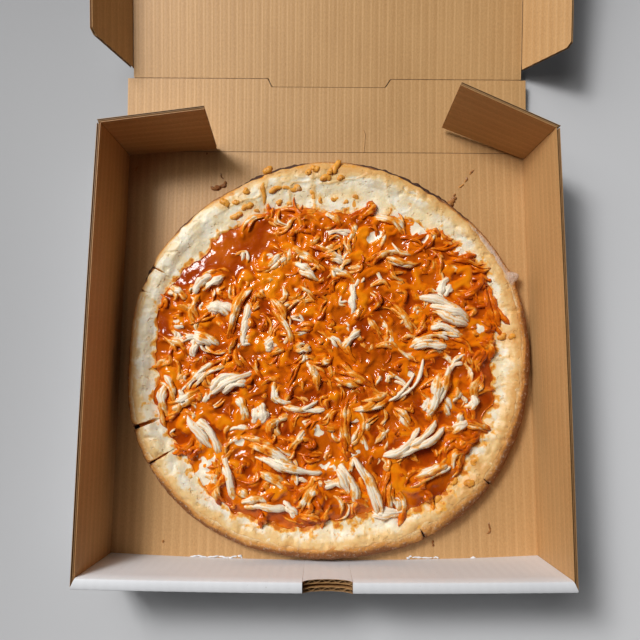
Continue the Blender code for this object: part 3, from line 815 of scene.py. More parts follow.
def ring_value(values, degrees):
    """Smooth value between entries spaced evenly round a circle."""
    values = np.array(values)
    position = (degrees % 360.0) / 360.0 * len(values)
    i = np.floor(position).astype(int)
    t = position - i
    return catmull_rom(*(values[(i + k) % len(values)] for k in (-1, 0, 1, 2)), t)


def waves(seed, counts):
    """Sum of a few sines of the angle, with seeded phases, between about -1 and 1."""
    draw = random.Random(seed)
    terms = [(n, draw.uniform(0.0, 2.0 * math.pi)) for n in counts]
    return lambda degrees: sum(np.sin(n * np.radians(degrees) + p) for n, p in terms) / len(terms)


def bell(degrees, middle, width):
    """1 at an angle, falling to 0 over a width on both sides: exp(-(d / width)^2)."""
    away = (degrees - middle + 180.0) % 360.0 - 180.0
    return np.exp(-(away / width) ** 2)


def spot_share(spots, place):
    """1 inside a spot, falling off with the squared distance in the spot's own two axes."""
    share = np.zeros(place.shape[:-1])
    for column, row, long_half, short_half, direction in spots:
        away = place - place_of_pixel(column, row, SAUCE_TOP)
        turn = math.radians(direction)
        u = (away[..., 0] * math.cos(turn) + away[..., 1] * math.sin(turn)) / long_half
        v = (away[..., 1] * math.cos(turn) - away[..., 0] * math.sin(turn)) / short_half
        share = np.maximum(share, np.exp(-0.7 * (u * u + v * v)))
    return share


def around(radius, degrees, height):
    """Points round the pizza's middle."""
    turn = np.radians(degrees)
    flat = np.stack([radius * np.cos(turn), radius * np.sin(turn), height + 0.0 * radius], -1)
    return flat + PIZZA


def turned_faces(angles, rows):
    """Faces of a surface closed round the axis, with a pole point at each end of its section."""
    faces = grid_faces(angles, rows, closed=True)
    first = np.arange(angles) * rows
    ahead = np.roll(first, -1)
    low = np.full(angles, angles * rows)
    return [faces, np.stack([low, ahead, first], -1),
            np.stack([low + 1, first + rows - 1, ahead + rows - 1], -1)]


def turned_piece(name, points, poles, finish, node, values, ends=(0.0, 0.0)):
    """Rows of points closed round the axis, with a pole on it at both heights."""
    shape = points.shape[:2]
    poles = np.array([PIZZA + (0.0, 0.0, height) for height in poles])
    points = np.concatenate([points.reshape(-1, 3), poles])
    values = {key: np.append(np.broadcast_to(v, shape).ravel(), ends) for key, v in values.items()}
    return make_piece(name, points, turned_faces(*shape), [finish], "tray", node, values=values)


print("pizza about", round(2.0 * float(np.mean(RIM_RADII))), "across")

# %% Dough finish
def dough_finish():
    """Cream dough that browns where its edge met the oven, white with flour in places."""
    finish = Finish("dough", Roughness=0.75, Specular_IOR_Level=0.3, Subsurface_Weight=0.08,
                    Subsurface_Radius=(0.004, 0.002, 0.001))
    fine = finish.noise(460.0, 4.0, 0.7)
    patches = finish.noise(85.0, 3.0)
    freckles = finish.noise(230.0, 2.0)
    toast = finish.attribute("toast") + (patches - 0.5) * 0.8 + (fine - 0.5) * 0.3
    tone = finish.mix(finish.step(toast, -0.1, 0.4), (0.95, 0.84, 0.62), (0.84, 0.55, 0.24))
    tone = finish.fade(tone, toast, 0.25, 0.75, (0.70, 0.32, 0.08))
    tone = finish.fade(tone, toast, 0.75, 1.15, (0.30, 0.115, 0.035))
    tone = finish.mix(finish.step(freckles, 0.66, 0.74) * 0.5, tone, (0.62, 0.36, 0.14))
    dust = finish.step(fine + finish.step(toast, 0.2, 0.5) * 0.06, 0.60, 0.72) * 0.28
    tone = finish.mix(dust, tone, (0.95, 0.86, 0.70))
    flour = finish.step(finish.attribute("flour") + (fine - 0.5) * 0.8, 0.35, 0.8)
    tone = finish.mix(flour, tone, (0.70, 0.52, 0.40))
    char = finish.step(finish.attribute("char") + (fine - 0.5) * 0.5 + (patches - 0.5) * 0.3, 0.35, 0.65)
    finish.set(Base_Color=finish.mix(char, tone, (0.075, 0.038, 0.026)))
    finish.bump(fine * 0.7 + freckles * 0.7, 0.0011)
    return finish


dough = dough_finish()
print("dough finish of", len(dough.tree.nodes), "nodes")

# %% The crust's section, cuts and burnt places
UNDERSIDE = 2.9
BASE_HEIGHT = 6.0
# section from the underside over the rim: distance from the edge inwards, height
RIM_SECTION = ((12.0, 0.0), (7.0, 0.0), (3.4, 0.3), (1.2, 1.4), (0.0, 4.4), (0.8, 7.8), (3.6, 10.6),
               (8.2, 12.2), (13.0, 11.7), (17.2, 9.8), (20.2, 7.6), (22.4, 6.4), (26.0, 6.0))
RIM_CREST = 12.4
SECTION_STEPS = 5         # points for each stretch of the section
EVEN_ANGLES = 900
CUT_ANGLES = 13           # angles packed beside each cut
CUT_REACH = 0.9           # degrees on both sides of a cut
# cuts of the wheel: angle, radius where the cut begins, width, depth
CUTS = ((200.8, 127.0, 2.6, 10.5), (211.6, 128.0, 1.4, 5.0), (153.5, 133.0, 1.2, 4.0),
        (161.0, 138.0, 1.0, 2.5), (322.0, 140.0, 1.6, 6.0), (298.4, 136.0, 1.6, 5.5))
# burnt places on the rim's lip: angle, width in degrees, strength
BURNT = ((112.0, 8.0, 1.0), (101.0, 6.0, 0.8), (137.0, 6.0, 0.7), (74.0, 12.0, 0.9), (58.0, 9.0, 0.9),
         (155.5, 3.0, 1.0), (46.0, 3.0, 0.6), (180.0, 10.0, 0.3))
NUB_ANGLE = 23.4          # where a nub of floury dough sticks out
print(len(CUTS), "cuts and", len(BURNT), "burnt places")


def section_curve(points, steps):
    """A smooth curve through the section's points, some steps a stretch."""
    points = np.array(points)
    padded = np.concatenate([points[:1], points, points[-1:]])
    t = (np.arange(steps) / steps)[:, None]
    parts = [catmull_rom(*padded[i:i + 4], t) for i in range(len(points) - 1)]
    return np.concatenate(parts + [points[-1:]])


def crust_angles():
    """Even angles, with more of them beside each cut."""
    even = np.linspace(0.0, 360.0, EVEN_ANGLES, endpoint=False)
    beside = np.linspace(-CUT_REACH, CUT_REACH, CUT_ANGLES)
    extra = [angle + beside for angle, _, _, _ in CUTS]
    return np.unique(np.round(np.concatenate([even] + extra), 4))


# %% Lumps on the rim, and the wheel's cuts
def upper_side(height):
    """0 on the underside, 1 from 6 mm up."""
    return unit((height - 3.0) / 3.0)


def crest_share(height):
    """0 at the base, 1 on the rim's crest."""
    return unit((height - BASE_HEIGHT) / (RIM_CREST - BASE_HEIGHT))


def rim_relief(degrees, radius, height):
    """Lumps on the dough: a swell round the rim, lumps of two sizes, blisters, and small pits."""
    place = around(radius, degrees, height)
    swell = 1.1 * crest_share(height) * waves(3, (5, 9, 14, 22))(degrees)
    blisters = 1.2 * np.clip(lumps(place, 12.0, 1, 3.1), 0.1, 1.0)
    dents = 2.6 * unit(lumps(place, 4.2, 1, 9.0) - 0.45)
    uneven = 0.6 * lumps(place, 12.0, 2) + 0.22 * lumps(place, 4.2, 2, 5.0)
    return swell + upper_side(height) * (uneven + blisters - dents)


def knife_cuts(degrees, radius, place):
    """Depth of the wheel's cuts: a V across each cut, opening towards the edge; and how near one is."""
    depth = np.zeros_like(radius)
    crack = np.zeros_like(radius)
    for angle, start, width, deep in CUTS:
        away = np.radians(np.abs((degrees - angle + 180.0) % 360.0 - 180.0)) * radius
        crooked = away + 0.35 * lumps(place, 4.0, 1, angle)
        open_here = unit((radius - start) / 6.0)
        valley = unit(1.0 - crooked / (0.5 * width * open_here + 0.01)) * (open_here > 0.0)
        depth = np.maximum(depth, deep * valley ** 0.6)
        crack = np.maximum(crack, np.exp(-(away / (0.9 * width)) ** 2) * open_here)
    return depth, crack


# %% The crust's outline and its shades
def crust_swelling(inset, height, place, lip, nub):
    """How far the side bulges: burnt lips stick out low down and draw in above, and so does the nub."""
    outer_side = unit(1.0 - inset / 4.0) * unit(height / 2.0)
    ragged = 0.5 + 0.5 * lumps(place, 3.0, 2, 2.0)
    step_in = unit((height - 3.6) / 1.6) * unit(1.0 - inset / 14.0)
    grow = lip * (2.4 * low_edge(inset, height) * ragged - 2.6 * step_in)
    grow = grow + 0.7 * outer_side * lumps(place, 5.0, 2, 4.0)
    return grow + 5.5 * nub * unit(1.0 - inset / 9.0)


def low_edge(inset, height):
    """1 at the rim's foot, 3 mm up, falling off above, below and inwards."""
    return np.exp(-((height - 3.0) / 1.7) ** 2) * unit(1.0 - inset / 5.0)


def crust_shades(degrees, inset, height, radius, relief, depth, crack, lip, nub):
    """How toasted, floury and burnt each point is: sums of sides, bells of the angle and cracks."""
    reach = 3.6 + 6.0 * bell(degrees, 315.0, 62.0) + 2.0 * bell(degrees, 235.0, 45.0)
    reach = reach + 1.2 * waves(52, (7, 12, 19))(degrees)
    shoulder = unit((height - 2.0) / 2.0) * unit(1.2 - inset / reach)
    low_side = unit(1.0 - inset / 2.5) * unit((9.0 - height) / 4.0)
    bottom = unit(1.0 - height)
    uneven = 0.8 + 0.35 * waves(51, (3, 5, 8))(degrees)
    golden = bell(degrees, 350.0, 45.0) + bell(degrees, 265.0, 50.0) + 0.7 * bell(degrees, 75.0, 30.0)
    toast = (1.05 * shoulder + 0.75 * low_side) * uneven + 0.9 * bottom
    toast = toast + (0.25 + 0.32 * golden) * unit(1.3 - inset / 12.0)
    toast = toast + 0.15 * relief - 0.1
    toast = toast + 0.6 * low_side * (bell(degrees, 352.0, 30.0) + bell(degrees, 230.0, 40.0))
    toast = toast + 0.5 * crack + 0.9 * unit(crack * (radius > 143.0))
    flour = 0.8 * bell(degrees, 33.0, 16.0) * np.exp(-((inset - 4.5) / 3.5) ** 2) + 0.9 * nub
    char = lip * low_edge(inset, height) * 1.6 + np.where(height < 0.9, 0.25, 0.0)
    char = char + 0.75 * crack * (depth > 2.0)
    return {"toast": toast, "flour": flour, "char": char}


# %% Make the crust
def make_crust():
    """Radius = outline - inset, height = section + lumps; cuts push the surface down."""
    degrees = crust_angles()[:, None]
    inset, height = section_curve(RIM_SECTION, SECTION_STEPS).T
    inset, height = inset[None, :], height[None, :]
    ripple = 0.5 * crest_share(height) * waves(8, (17, 25, 31))(degrees)
    radius = ring_value(RIM_RADII, degrees) - inset + ripple
    place = around(radius, degrees, height)
    relief = rim_relief(degrees, radius, height)
    lip = sum(strength * bell(degrees, middle, width) for middle, width, strength in BURNT)
    nub = bell(degrees, NUB_ANGLE, 1.5) * np.exp(-((height - 7.0) / 4.5) ** 2)
    grow = crust_swelling(inset, height, place, lip, nub)
    depth, crack = knife_cuts(degrees, radius, place)
    surface = np.maximum(height + relief - depth * upper_side(height), np.minimum(height, 0.8))
    points = around(radius + grow, degrees, UNDERSIDE + surface)
    points[..., 2] = np.maximum(points[..., 2], UNDERSIDE)
    shades = crust_shades(degrees, inset, height, radius, relief, depth, crack, lip, nub)
    poles = (UNDERSIDE, UNDERSIDE + BASE_HEIGHT)
    turned_piece("pizza_crust", points, poles, dough, "crust", shades, (0.5, 0.0))


make_crust()

# %% [markdown]
# ## Melted cheese
#
# The cheese runs from under the sauce up the inner slope of the rim, and ends in rounded lobes.
# Its surface is bumpy where shreds of cheese have run together, and it has yellow and browned
# spots where it bubbled.

# %% Sizes of the cheese, and its toasted spots
CHEESE_TOP = 11.4
CHEESE_LOW = 9.2
CHEESE_MIDDLE = 11.1        # its level under the sauce
CHEESE_INSET = 2.6
CHEESE_INSET_FRONT = 5.0    # added round the front right
CHEESE_LIP = 0.6
CHEESE_ROWS = 60
CHEESE_INNER = 40.0         # the rows reach this far in, and one fan closes the middle
CHEESE_SUNK = 2.6           # the underside lies this far under the crust's upper side
CHEESE_UNDER = 24.0         # the underside follows the rim down over this length
# strings and blisters of toasted cheese: column and row of the photograph's pixel, direction in
# degrees, length, width and bend in millimetres
TOASTED = (
    (264, 192, 88, 19, 3.4, 1), (276, 189, 20, 13, 3.6, -1), (290, 188.5, -10, 13, 3.6, -1),
    (246.6, 192, -30, 5, 4.2, 0), (225, 203, -25, 9, 5.0, 1), (236, 202, 0, 5.5, 3.6, 0),
    (268, 171, 15, 8, 5.0, 1), (279, 202, 0, 4.5, 4.0, 0), (289, 203, 20, 4.5, 3.0, 0),
    (298, 188, 10, 6, 4.4, 0), (315.5, 169.5, 10, 7, 5.0, 1), (308.5, 172, 10, 4.5, 4.0, 0),
    (326, 177.5, -10, 9, 5.4, 1), (337, 167, 55, 12, 4.6, 1), (331, 172.5, 60, 5, 4.0, 0),
    (341, 178, 40, 6, 3.6, 0), (313, 194, -55, 8, 3.0, 1), (321, 199, -70, 7, 2.6, 0),
    (335, 197.5, 0, 6.5, 2.6, 0), (346, 201, -20, 4, 3.0, 0), (356, 196.5, -35, 5.5, 3.0, 0),
    (248, 207, 30, 10, 5.0, 1), (236, 215, 35, 11, 4.5, -1), (257, 209.5, 0, 4.5, 3.0, 0),
    (390, 212, 60, 9, 2.6, 1), (503, 337, 10, 7, 4.5, 1), (512, 337, 0, 5, 3.4, 0),
    (475, 463, 90, 5, 4.0, 0), (470, 484, 30, 7, 5.0, 1), (455, 482, 60, 7, 3.6, 0),
    (438, 500, 30, 8, 4.5, 1))
TOASTED_HALOS = tuple((column, row, 0.5 * length + 3.0, 0.5 * width + 2.5, direction)
                      for column, row, direction, length, width, bend in TOASTED)
print(len(TOASTED), "toasted spots")


# %% Cheese finish
def cheese_finish():
    """White to cream, golden towards the rim, brown where it bubbled, orange beside the sauce."""
    finish = Finish("cheese", Roughness=0.42, Specular_IOR_Level=0.45, Subsurface_Weight=0.15,
                    Subsurface_Radius=(0.005, 0.003, 0.0015))
    blots = finish.noise(110.0, 3.0)
    fine = finish.noise(500.0, 3.0)
    tone = finish.mix(finish.step(blots, 0.35, 0.65), (0.96, 0.88, 0.70), (0.94, 0.79, 0.52))
    fat = finish.step(finish.noise(75.0, 3.0), 0.42, 0.70)
    tone = finish.mix(fat * 0.5, tone, (0.93, 0.70, 0.34))
    pits = finish.step(finish.noise(300.0, 2.0), 0.63, 0.70)
    tone = finish.mix(pits * 0.45, tone, (0.80, 0.50, 0.22))
    rim = finish.attribute("rim") + (blots - 0.5) * 1.3 + (fine - 0.5) * 0.4
    tone = finish.fade(tone, rim, 0.25, 0.75, (0.87, 0.58, 0.25))
    tone = finish.fade(tone, rim, 0.75, 1.25, (0.76, 0.42, 0.14))
    bake = finish.attribute("bake") + (blots - 0.5) * 0.5 + (fine - 0.5) * 0.3
    tone = finish.fade(tone, bake, 0.45, 0.75, (0.84, 0.37, 0.05))
    tone = finish.fade(tone, bake, 0.8, 1.2, (0.50, 0.15, 0.02))
    stain = finish.attribute("stain") + (finish.noise(170.0, 2.0) - 0.5) * 1.6 + (fine - 0.5) * 0.2
    tone = finish.fade(tone, stain, 0.42, 0.62, (0.90, 0.44, 0.07))
    tone = finish.fade(tone, stain, 0.62, 0.78, (0.70, 0.19, 0.012))
    finish.set(Base_Color=tone)
    finish.bump(fine * 0.5 + blots * 0.8 - pits * 0.5, 0.0007)
    return finish


cheese = cheese_finish()
print("cheese finish of", len(cheese.tree.nodes), "nodes")

# %% Edges and levels of the cheese and the sauce
def rim_top(degrees, radius):
    """Height of the crust's upper side without its lumps."""
    inset = ring_value(RIM_RADII, degrees) - radius
    steps = np.array([p for p in RIM_SECTION if p[1] > 4.0])
    return UNDERSIDE + np.interp(inset, steps[:, 0], steps[:, 1])


def filled_level(degrees, radius):
    """The cheese's level before it is bumpy: it fills the hollow behind the rim, most at the rear left."""
    wide = bell(degrees, 112.0, 30.0)
    past_crest = ring_value(RIM_RADII, degrees) - radius - 11.0 - 2.0 * wide
    fill = (2.4 + 1.4 * wide) * unit(1.0 - past_crest / (12.0 + 6.0 * wide))
    return CHEESE_TOP - 0.2 + fill


def cheese_edge(degrees):
    """The cheese's outer edge: lobes of two sizes, further in at the front right."""
    ragged = waves(12, (7, 11, 16, 29, 43))(degrees) + 0.6 * waves(13, (61, 83))(degrees)
    inset = CHEESE_INSET + CHEESE_INSET_FRONT * bell(degrees, 322.0, 68.0)
    inset = inset + 2.4 * bell(degrees, 235.0, 45.0)
    return ring_value(RIM_RADII, degrees) - inset - 2.2 * (0.5 + 0.5 * ragged)


def sauce_edge(degrees):
    """The sauce's outer edge: an uneven ring with small tongues."""
    ring = ring_value(SAUCE_RADII, degrees)
    place = around(ring, degrees, 40.0)
    return ring + 5.0 * lumps(place, 13.0, 2) + 2.2 * lumps(place, 4.6, 2, 3.0)


print("the cheese reaches", round(float(cheese_edge(np.arange(360.0)).mean()), 1), "out and the sauce",
      round(float(sauce_edge(np.arange(360.0)).mean()), 1))


def layer_rows(edge, inner, count, lip):
    """Radii from the underside round a rounded lip to the middle, as shares of the way."""
    inward = np.concatenate([[2.0 * lip, 0.6 * lip], lip * (1.0 - np.cos(np.linspace(0.3, 1.57, 5))),
                             np.linspace(lip + 0.6, inner, count)])
    return edge - inward[None, :]


# %% Make the cheese
def cheese_shades(degrees, radius, from_edge, place, bumps, seams, depth, crack):
    """How baked, how golden and how stained by sauce each point is."""
    front = bell(degrees, 300.0, 80.0)
    spots = unit(lumps(place, 7.0, 1, 21.0) * 3.0 - 1.5)
    top_side = bell(degrees, 95.0, 32.0)
    crest = unit(bumps)
    bake = spots * (0.45 + 0.8 * top_side) + 0.5 * top_side * crest
    bake = bake + 0.10 * np.exp(-(from_edge / 6.0) ** 2)
    bake = bake + 0.45 * bell(degrees, 88.0, 26.0) * np.exp(-(from_edge / 5.0) ** 2)
    bake = bake - 0.25 * unit(from_edge / 25.0)
    bake = bake + 1.2 * crack * (depth > 1.0) + 0.3 * crack
    white_side = bell(degrees, 135.0, 42.0)
    rim = 1.05 - from_edge / (12.0 - 9.0 * white_side) - 0.25 * white_side
    rim = np.clip(rim + 0.3 * bell(degrees, 350.0, 50.0), 0.0, 1.3)
    rim = rim + 0.5 * seams + 0.65 * spot_share(TOASTED_HALOS, place)
    rim = rim + 0.75 * bell(degrees, 90.0, 28.0) * unit(1.4 - from_edge / 10.0)
    past_sauce = np.clip(radius - sauce_edge(degrees), 0.0, 50.0)
    stain = 0.72 * np.exp(-past_sauce / (6.0 + 4.0 * front)) + 0.08 * front - 0.08
    return {"bake": bake, "rim": rim, "stain": stain}


def make_cheese():
    """Blanket over the lumpy rim and the middle: height = max(level, rim) + thickness + bumps."""
    degrees = crust_angles()[:, None]
    edge = cheese_edge(degrees)
    rows = layer_rows(edge, CHEESE_INNER, CHEESE_ROWS, CHEESE_LIP)
    radius = np.concatenate([edge - CHEESE_UNDER, rows], axis=1)
    from_edge = edge - radius
    under = np.zeros_like(radius, dtype=bool)
    under[:, :3] = True
    slope = rim_top(degrees, radius)
    place = around(radius, degrees, 10.0)
    cover = unit(from_edge / 10.0)
    billow = np.abs(lumps(place, 7.5, 1, 1.7)) ** 0.8 - 0.35
    bumps = 0.75 * lumps(place, 10.0, 2, 8.8) + 0.2 * lumps(place, 3.6, 2, 6.2)
    bumps = bumps + (0.4 + 1.5 * bell(degrees, 300.0, 80.0)) * billow
    seams = unit(1.0 - np.abs(lumps(place, 19.0, 1, 33.0)) / 0.06) * cover
    relief = rim_relief(degrees, radius, slope - UNDERSIDE)
    rim_surface = slope + relief * unit(1.4 - from_edge / 18.0)
    top = np.maximum(filled_level(degrees, radius), rim_surface)
    top += 0.15 + 0.75 * cover + bumps * np.clip(cover, 0.25, 1.0) + 0.55 * seams
    inside = unit((from_edge - 32.0) / 6.0)
    top = top * (1.0 - inside) + CHEESE_MIDDLE * inside
    top = np.maximum(top, slope + relief + 0.5 * cover)
    depth, crack = knife_cuts(degrees, radius, place)
    top = np.maximum(top - depth, CHEESE_LOW + 0.1)
    rounding = (1.0 - unit(from_edge / CHEESE_LIP)) * 0.7
    height = np.where(under, np.maximum(slope - CHEESE_SUNK, CHEESE_LOW), top - rounding)
    points = around(radius, degrees, height)
    shades = cheese_shades(degrees, radius, from_edge, place, bumps, seams, depth, crack)
    poles = (CHEESE_LOW, CHEESE_MIDDLE)
    turned_piece("melted_cheese", points, poles, cheese, "cheese", shades)


make_cheese()

# %% [markdown]
# ## Where the chicken lies
#
# Cooked breast pulls apart into strands. A large piece is a bundle of strands that touch, a small
# one is two or three. The large pieces lie where the photograph shows them. Small shreds fill the
# rest by a seeded draw that keeps them apart and off the bare sauce, and more of them lie drowned
# in the sauce, where they only raise it.

# %% Large pieces and shreds
# column and row of the photograph's pixel at the piece's middle, direction in degrees, length,
# width and sideways bend in millimetres, how pale it is from 0 to 1, height above the sauce
CHUNKS = (
    (296, 222, 35, 34, 6, 5, 0.2, 2), (269, 217, 45, 13, 4, 1, 0.3, 1),
    (241, 256, -40, 15, 4, 6, 0.6, 1), (208, 283, 37, 25, 8, 2, 0.8, 3),
    (180, 295, -20, 18, 6, 2, 0.5, 2), (217, 308, -15, 25, 9, 3, 0.8, 2),
    (235, 320, 71, 52, 6, 3, 0.6, 4), (246, 322, 75, 35, 6, 1, 0.95, 2),
    (280, 317, -60, 38, 6, 2, 0.4, 4), (304, 348, 20, 13, 9, 1, 0.55, 5),
    (264, 323, -68, 21, 4, 5, 0.05, 2), (270, 345, 20, 12, 8, 0, 0.95, 1),
    (308, 259, -33, 28, 6, 1, 0.2, 2), (306, 272, -34, 26, 6, 2, 0.6, 3),
    (273, 264, 35, 27, 5, 0, 0.35, 2), (181, 325, 20, 9, 5, 0, 0.85, 1),
    (184, 341, 36, 22, 5, 2, 0.5, 2), (208, 341, -31, 25, 7, 1, 0.65, 3),
    (194, 350, 90, 16, 5, 0, 0.8, 2), (366, 211, 40, 20, 6, 2, 0.25, 2),
    (395, 226, -30, 29, 8, 4, 0.3, 3), (337, 220, -30, 17, 6, 1, 0.25, 2),
    (334, 232, 0, 21, 5, 1, 0.7, 2), (404, 262, -5, 38, 6, -2, 0.45, 4),
    (336, 258, -20, 25, 8, 1, 0.35, 3), (446, 289, 60, 17, 8, 2, 0.9, 2),
    (470, 290, 50, 32, 6, -4, 0.2, 3), (452, 313, -25, 42, 11, 2, 0.75, 5),
    (450, 333, -10, 31, 7, 1, 0.45, 3), (403, 316, -45, 40, 5, 3, 0.15, 4),
    (428, 343, 5, 32, 9, 2, 0.6, 4), (353, 304, 95, 25, 5, 1, 0.8, 2),
    (375, 328, -55, 21, 5, 1, 0.3, 2), (333, 340, -40, 16, 5, 1, 0.4, 2),
    (352, 338, 45, 23, 5, 2, 0.3, 2), (495, 307, -70, 40, 8, -2, 0.05, 2),
    (480, 358, 55, 25, 8, 1, 0.05, 2), (167, 386, -65, 32, 5, 4, 0.35, 3),
    (165, 406, 95, 34, 6, 2, 0.4, 2), (200, 378, 40, 42, 8, 3, 0.45, 4),
    (190, 397, 35, 30, 7, 1, 0.5, 2), (230, 383, 20, 34, 11, 3, 0.85, 4),
    (243, 411, -70, 24, 6, 1, 0.45, 2), (258, 413, 80, 15, 9, 0, 0.95, 2),
    (203, 432, -50, 34, 10, 2, 0.9, 2), (227, 475, -75, 37, 6, 2, 0.8, 3),
    (267, 450, -28, 46, 10, 4, 0.5, 4), (287, 467, -15, 58, 7, -2, 0.75, 5),
    (275, 481, -28, 26, 6, 1, 0.3, 2), (261, 505, 0, 32, 8, 2, 0.75, 3),
    (290, 510, -55, 19, 4, 1, 1.0, 2), (305, 499, 60, 27, 10, 2, 0.15, 3),
    (308, 407, 5, 34, 6, -4, 0.5, 3), (280, 425, 60, 22, 6, 7, 0.35, 2),
    (300, 441, -20, 21, 6, 3, 0.1, 2), (312, 371, -65, 27, 6, 1, 0.3, 3),
    (356, 380, -25, 32, 12, 1, 0.3, 5), (371, 402, 25, 33, 9, -3, 0.35, 4),
    (402, 388, 50, 50, 3, -7, 0.9, 5), (441, 388, 75, 42, 9, 1, 0.75, 6),
    (427, 407, 50, 15, 7, 0, 0.95, 2), (446, 406, -50, 21, 6, 2, 0.4, 2),
    (414, 442, 35, 56, 12, -3, 0.7, 6), (404, 418, -50, 26, 7, 1, 0.3, 3),
    (460, 424, 45, 20, 8, 1, 0.5, 3), (450, 450, 60, 26, 7, 7, 0.1, 2),
    (432, 472, 25, 36, 9, -1, 0.5, 4), (366, 480, -68, 52, 6, 2, 0.75, 5),
    (345, 481, -70, 33, 7, 2, 0.8, 3), (334, 484, 0, 21, 6, 1, 0.8, 2),
    (358, 503, -10, 28, 7, 4, 0.15, 2), (385, 488, 80, 27, 9, 2, 0.15, 3),
    (387, 514, 5, 23, 7, 1, 1.0, 2), (346, 432, 92, 38, 9, 2, 0.05, 4),
    (478, 386, 70, 28, 5, 6, 0.3, 3), (381, 438, 40, 17, 4, 1, 0.4, 2))
# places with hardly any chicken: column and row of the photograph's pixel, radius in millimetres
BARE_SAUCE = (
    (232, 250, 19), (197, 268, 11), (262, 238, 9), (165, 312, 7), (163, 340, 7))
SHREDS = 390              # small pieces that show
DROWNED = 260             # and pieces that only raise the sauce
STRAND_WIDTH = 2.5
print(len(CHUNKS), "large pieces placed by hand")


# %% Rows of shreds and strands
def scattered_shreds(draw, count, spacing, lift, inside, lengths):
    """Rows of small shreds: random places in the sauce, a spacing apart and off the bare spots."""
    spots = [(place_of_pixel(column, row, SAUCE_TOP), reach) for column, row, reach in BARE_SAUCE]
    places, rows = [], []
    while len(rows) < count:
        degrees = draw.uniform(0.0, 360.0)
        radius = inside * float(sauce_edge(np.array(degrees))) * math.sqrt(draw.random())
        turn = math.radians(degrees)
        middle = PIZZA + np.array([radius * math.cos(turn), radius * math.sin(turn), 0.0])
        if any(math.hypot(*(middle - spot)[:2]) < reach for spot, reach in spots):
            continue
        if any(math.hypot(*(middle - other)[:2]) < spacing for other in places):
            continue
        places.append(middle)
        rows.append((middle[0], middle[1], draw.uniform(-90.0, 90.0), draw.uniform(*lengths),
                     draw.uniform(2.2, 5.6), draw.uniform(-8.0, 8.0), 0.5 * draw.random() ** 2.3,
                     draw.uniform(*lift)))
    return rows


def strands_of(pieces, draw):
    """One row a strand: x, y, direction, length, offset, bend, pale, lift, radius, fan, slide, seed."""
    rows = []
    for x, y, direction, length, width, bend, pale, lift in pieces:
        count = max(2, round(width / (STRAND_WIDTH + 2.0 * pale * pale)))
        fan = draw.uniform(-0.3, 0.7)
        for k in range(count):
            side = 2.0 * (k + 0.5) / count - 1.0
            heaped = 0.75 * lift + 0.12 * width * (1.0 - side * side)
            rows.append((x, y, direction + draw.uniform(-6, 6), length * draw.uniform(0.62, 1.05),
                         side * 0.42 * width + draw.uniform(-0.4, 0.4), bend + draw.uniform(-2.0, 2.0),
                         pale + draw.uniform(-0.1, 0.1), heaped + draw.uniform(-0.5, 0.6),
                         width / count * draw.uniform(0.45, 0.78), fan + draw.uniform(-0.1, 0.1),
                         draw.uniform(-0.16, 0.16) * length, draw.uniform(0.0, 100.0)))
    return np.array(rows)


chunk_rows = strands_of([(*place_of_pixel(column, row, SAUCE_TOP + height)[:2], *rest, height)
                         for column, row, *rest, height in CHUNKS], random.Random(5))
shreds = scattered_shreds(random.Random(41), SHREDS, 5.7, (0.3, 3.2), 0.985, (8.0, 27.0))
shred_rows = strands_of(shreds, random.Random(6))
drowned = scattered_shreds(random.Random(43), DROWNED, 5.5, (-0.4, 0.6), 0.94, (5.0, 17.0))
drowned_rows = strands_of(drowned, random.Random(9))
print(len(chunk_rows), "strands in large pieces,", len(shred_rows), "in shreds")

# %% Middle lines of the strands
STATIONS = 11             # rings along a strand of a large piece
SHRED_STATIONS = 10       # and along a small shred


def middle_lines(rows, stations=STATIONS):
    """place + along * t + across * (offset, bend, wobble), for t from -1 to 1, in the level plane."""
    x, y, direction, length, offset, bend, _, _, radius, fan, slide, seed = (c[:, None] for c in rows.T)
    t = np.linspace(-1.0, 1.0, stations)[None, :]
    turn = np.radians(direction)
    along = slide + 0.5 * length * t
    wobble = 0.7 * np.sin(2.1 * t + seed) + 0.35 * np.sin(5.3 * t + 1.7 * seed)
    across = offset * (1.0 + fan * t) + bend * (0.5 - t * t) + wobble * np.clip(radius, 0.2, 1.0)
    return np.stack([x + along * np.cos(turn) - across * np.sin(turn),
                     y + along * np.sin(turn) + across * np.cos(turn)], -1)


# %% [markdown]
# ## How the sauce lies over the strands
#
# Thick sauce does not stay level: it climbs up every strand and bridges the gaps. To find its
# height, the strands are drawn on a square grid of small cells, which keeps the highest strand
# in each cell, and the grid is blurred. The blur makes the sauce hang over the strands' sides.

# %% Grid of the heap
CELL = 0.5                # size of a cell
MAP_HALF = 135.0
MAP_CELLS = int(2 * MAP_HALF / CELL)
STAMP = np.arange(-2.0, 2.01, CELL)    # the cells that a stamp can reach, from its middle


def blurred(cells, reach):
    """Box blur, twice in both directions: a running sum minus the same sum shifted by the reach."""
    width = 2 * reach
    for _ in range(2):
        for axis in (0, 1):
            margins = [(reach, reach) if a == axis else (0, 0) for a in (0, 1)]
            total = np.moveaxis(np.cumsum(np.pad(cells, margins), axis=axis), axis, 0)
            before = np.concatenate([0.0 * total[:1], total[:-1]])[:len(total) - width]
            cells = np.moveaxis((total[width:] - before) / (width + 1), 0, axis)
    return cells


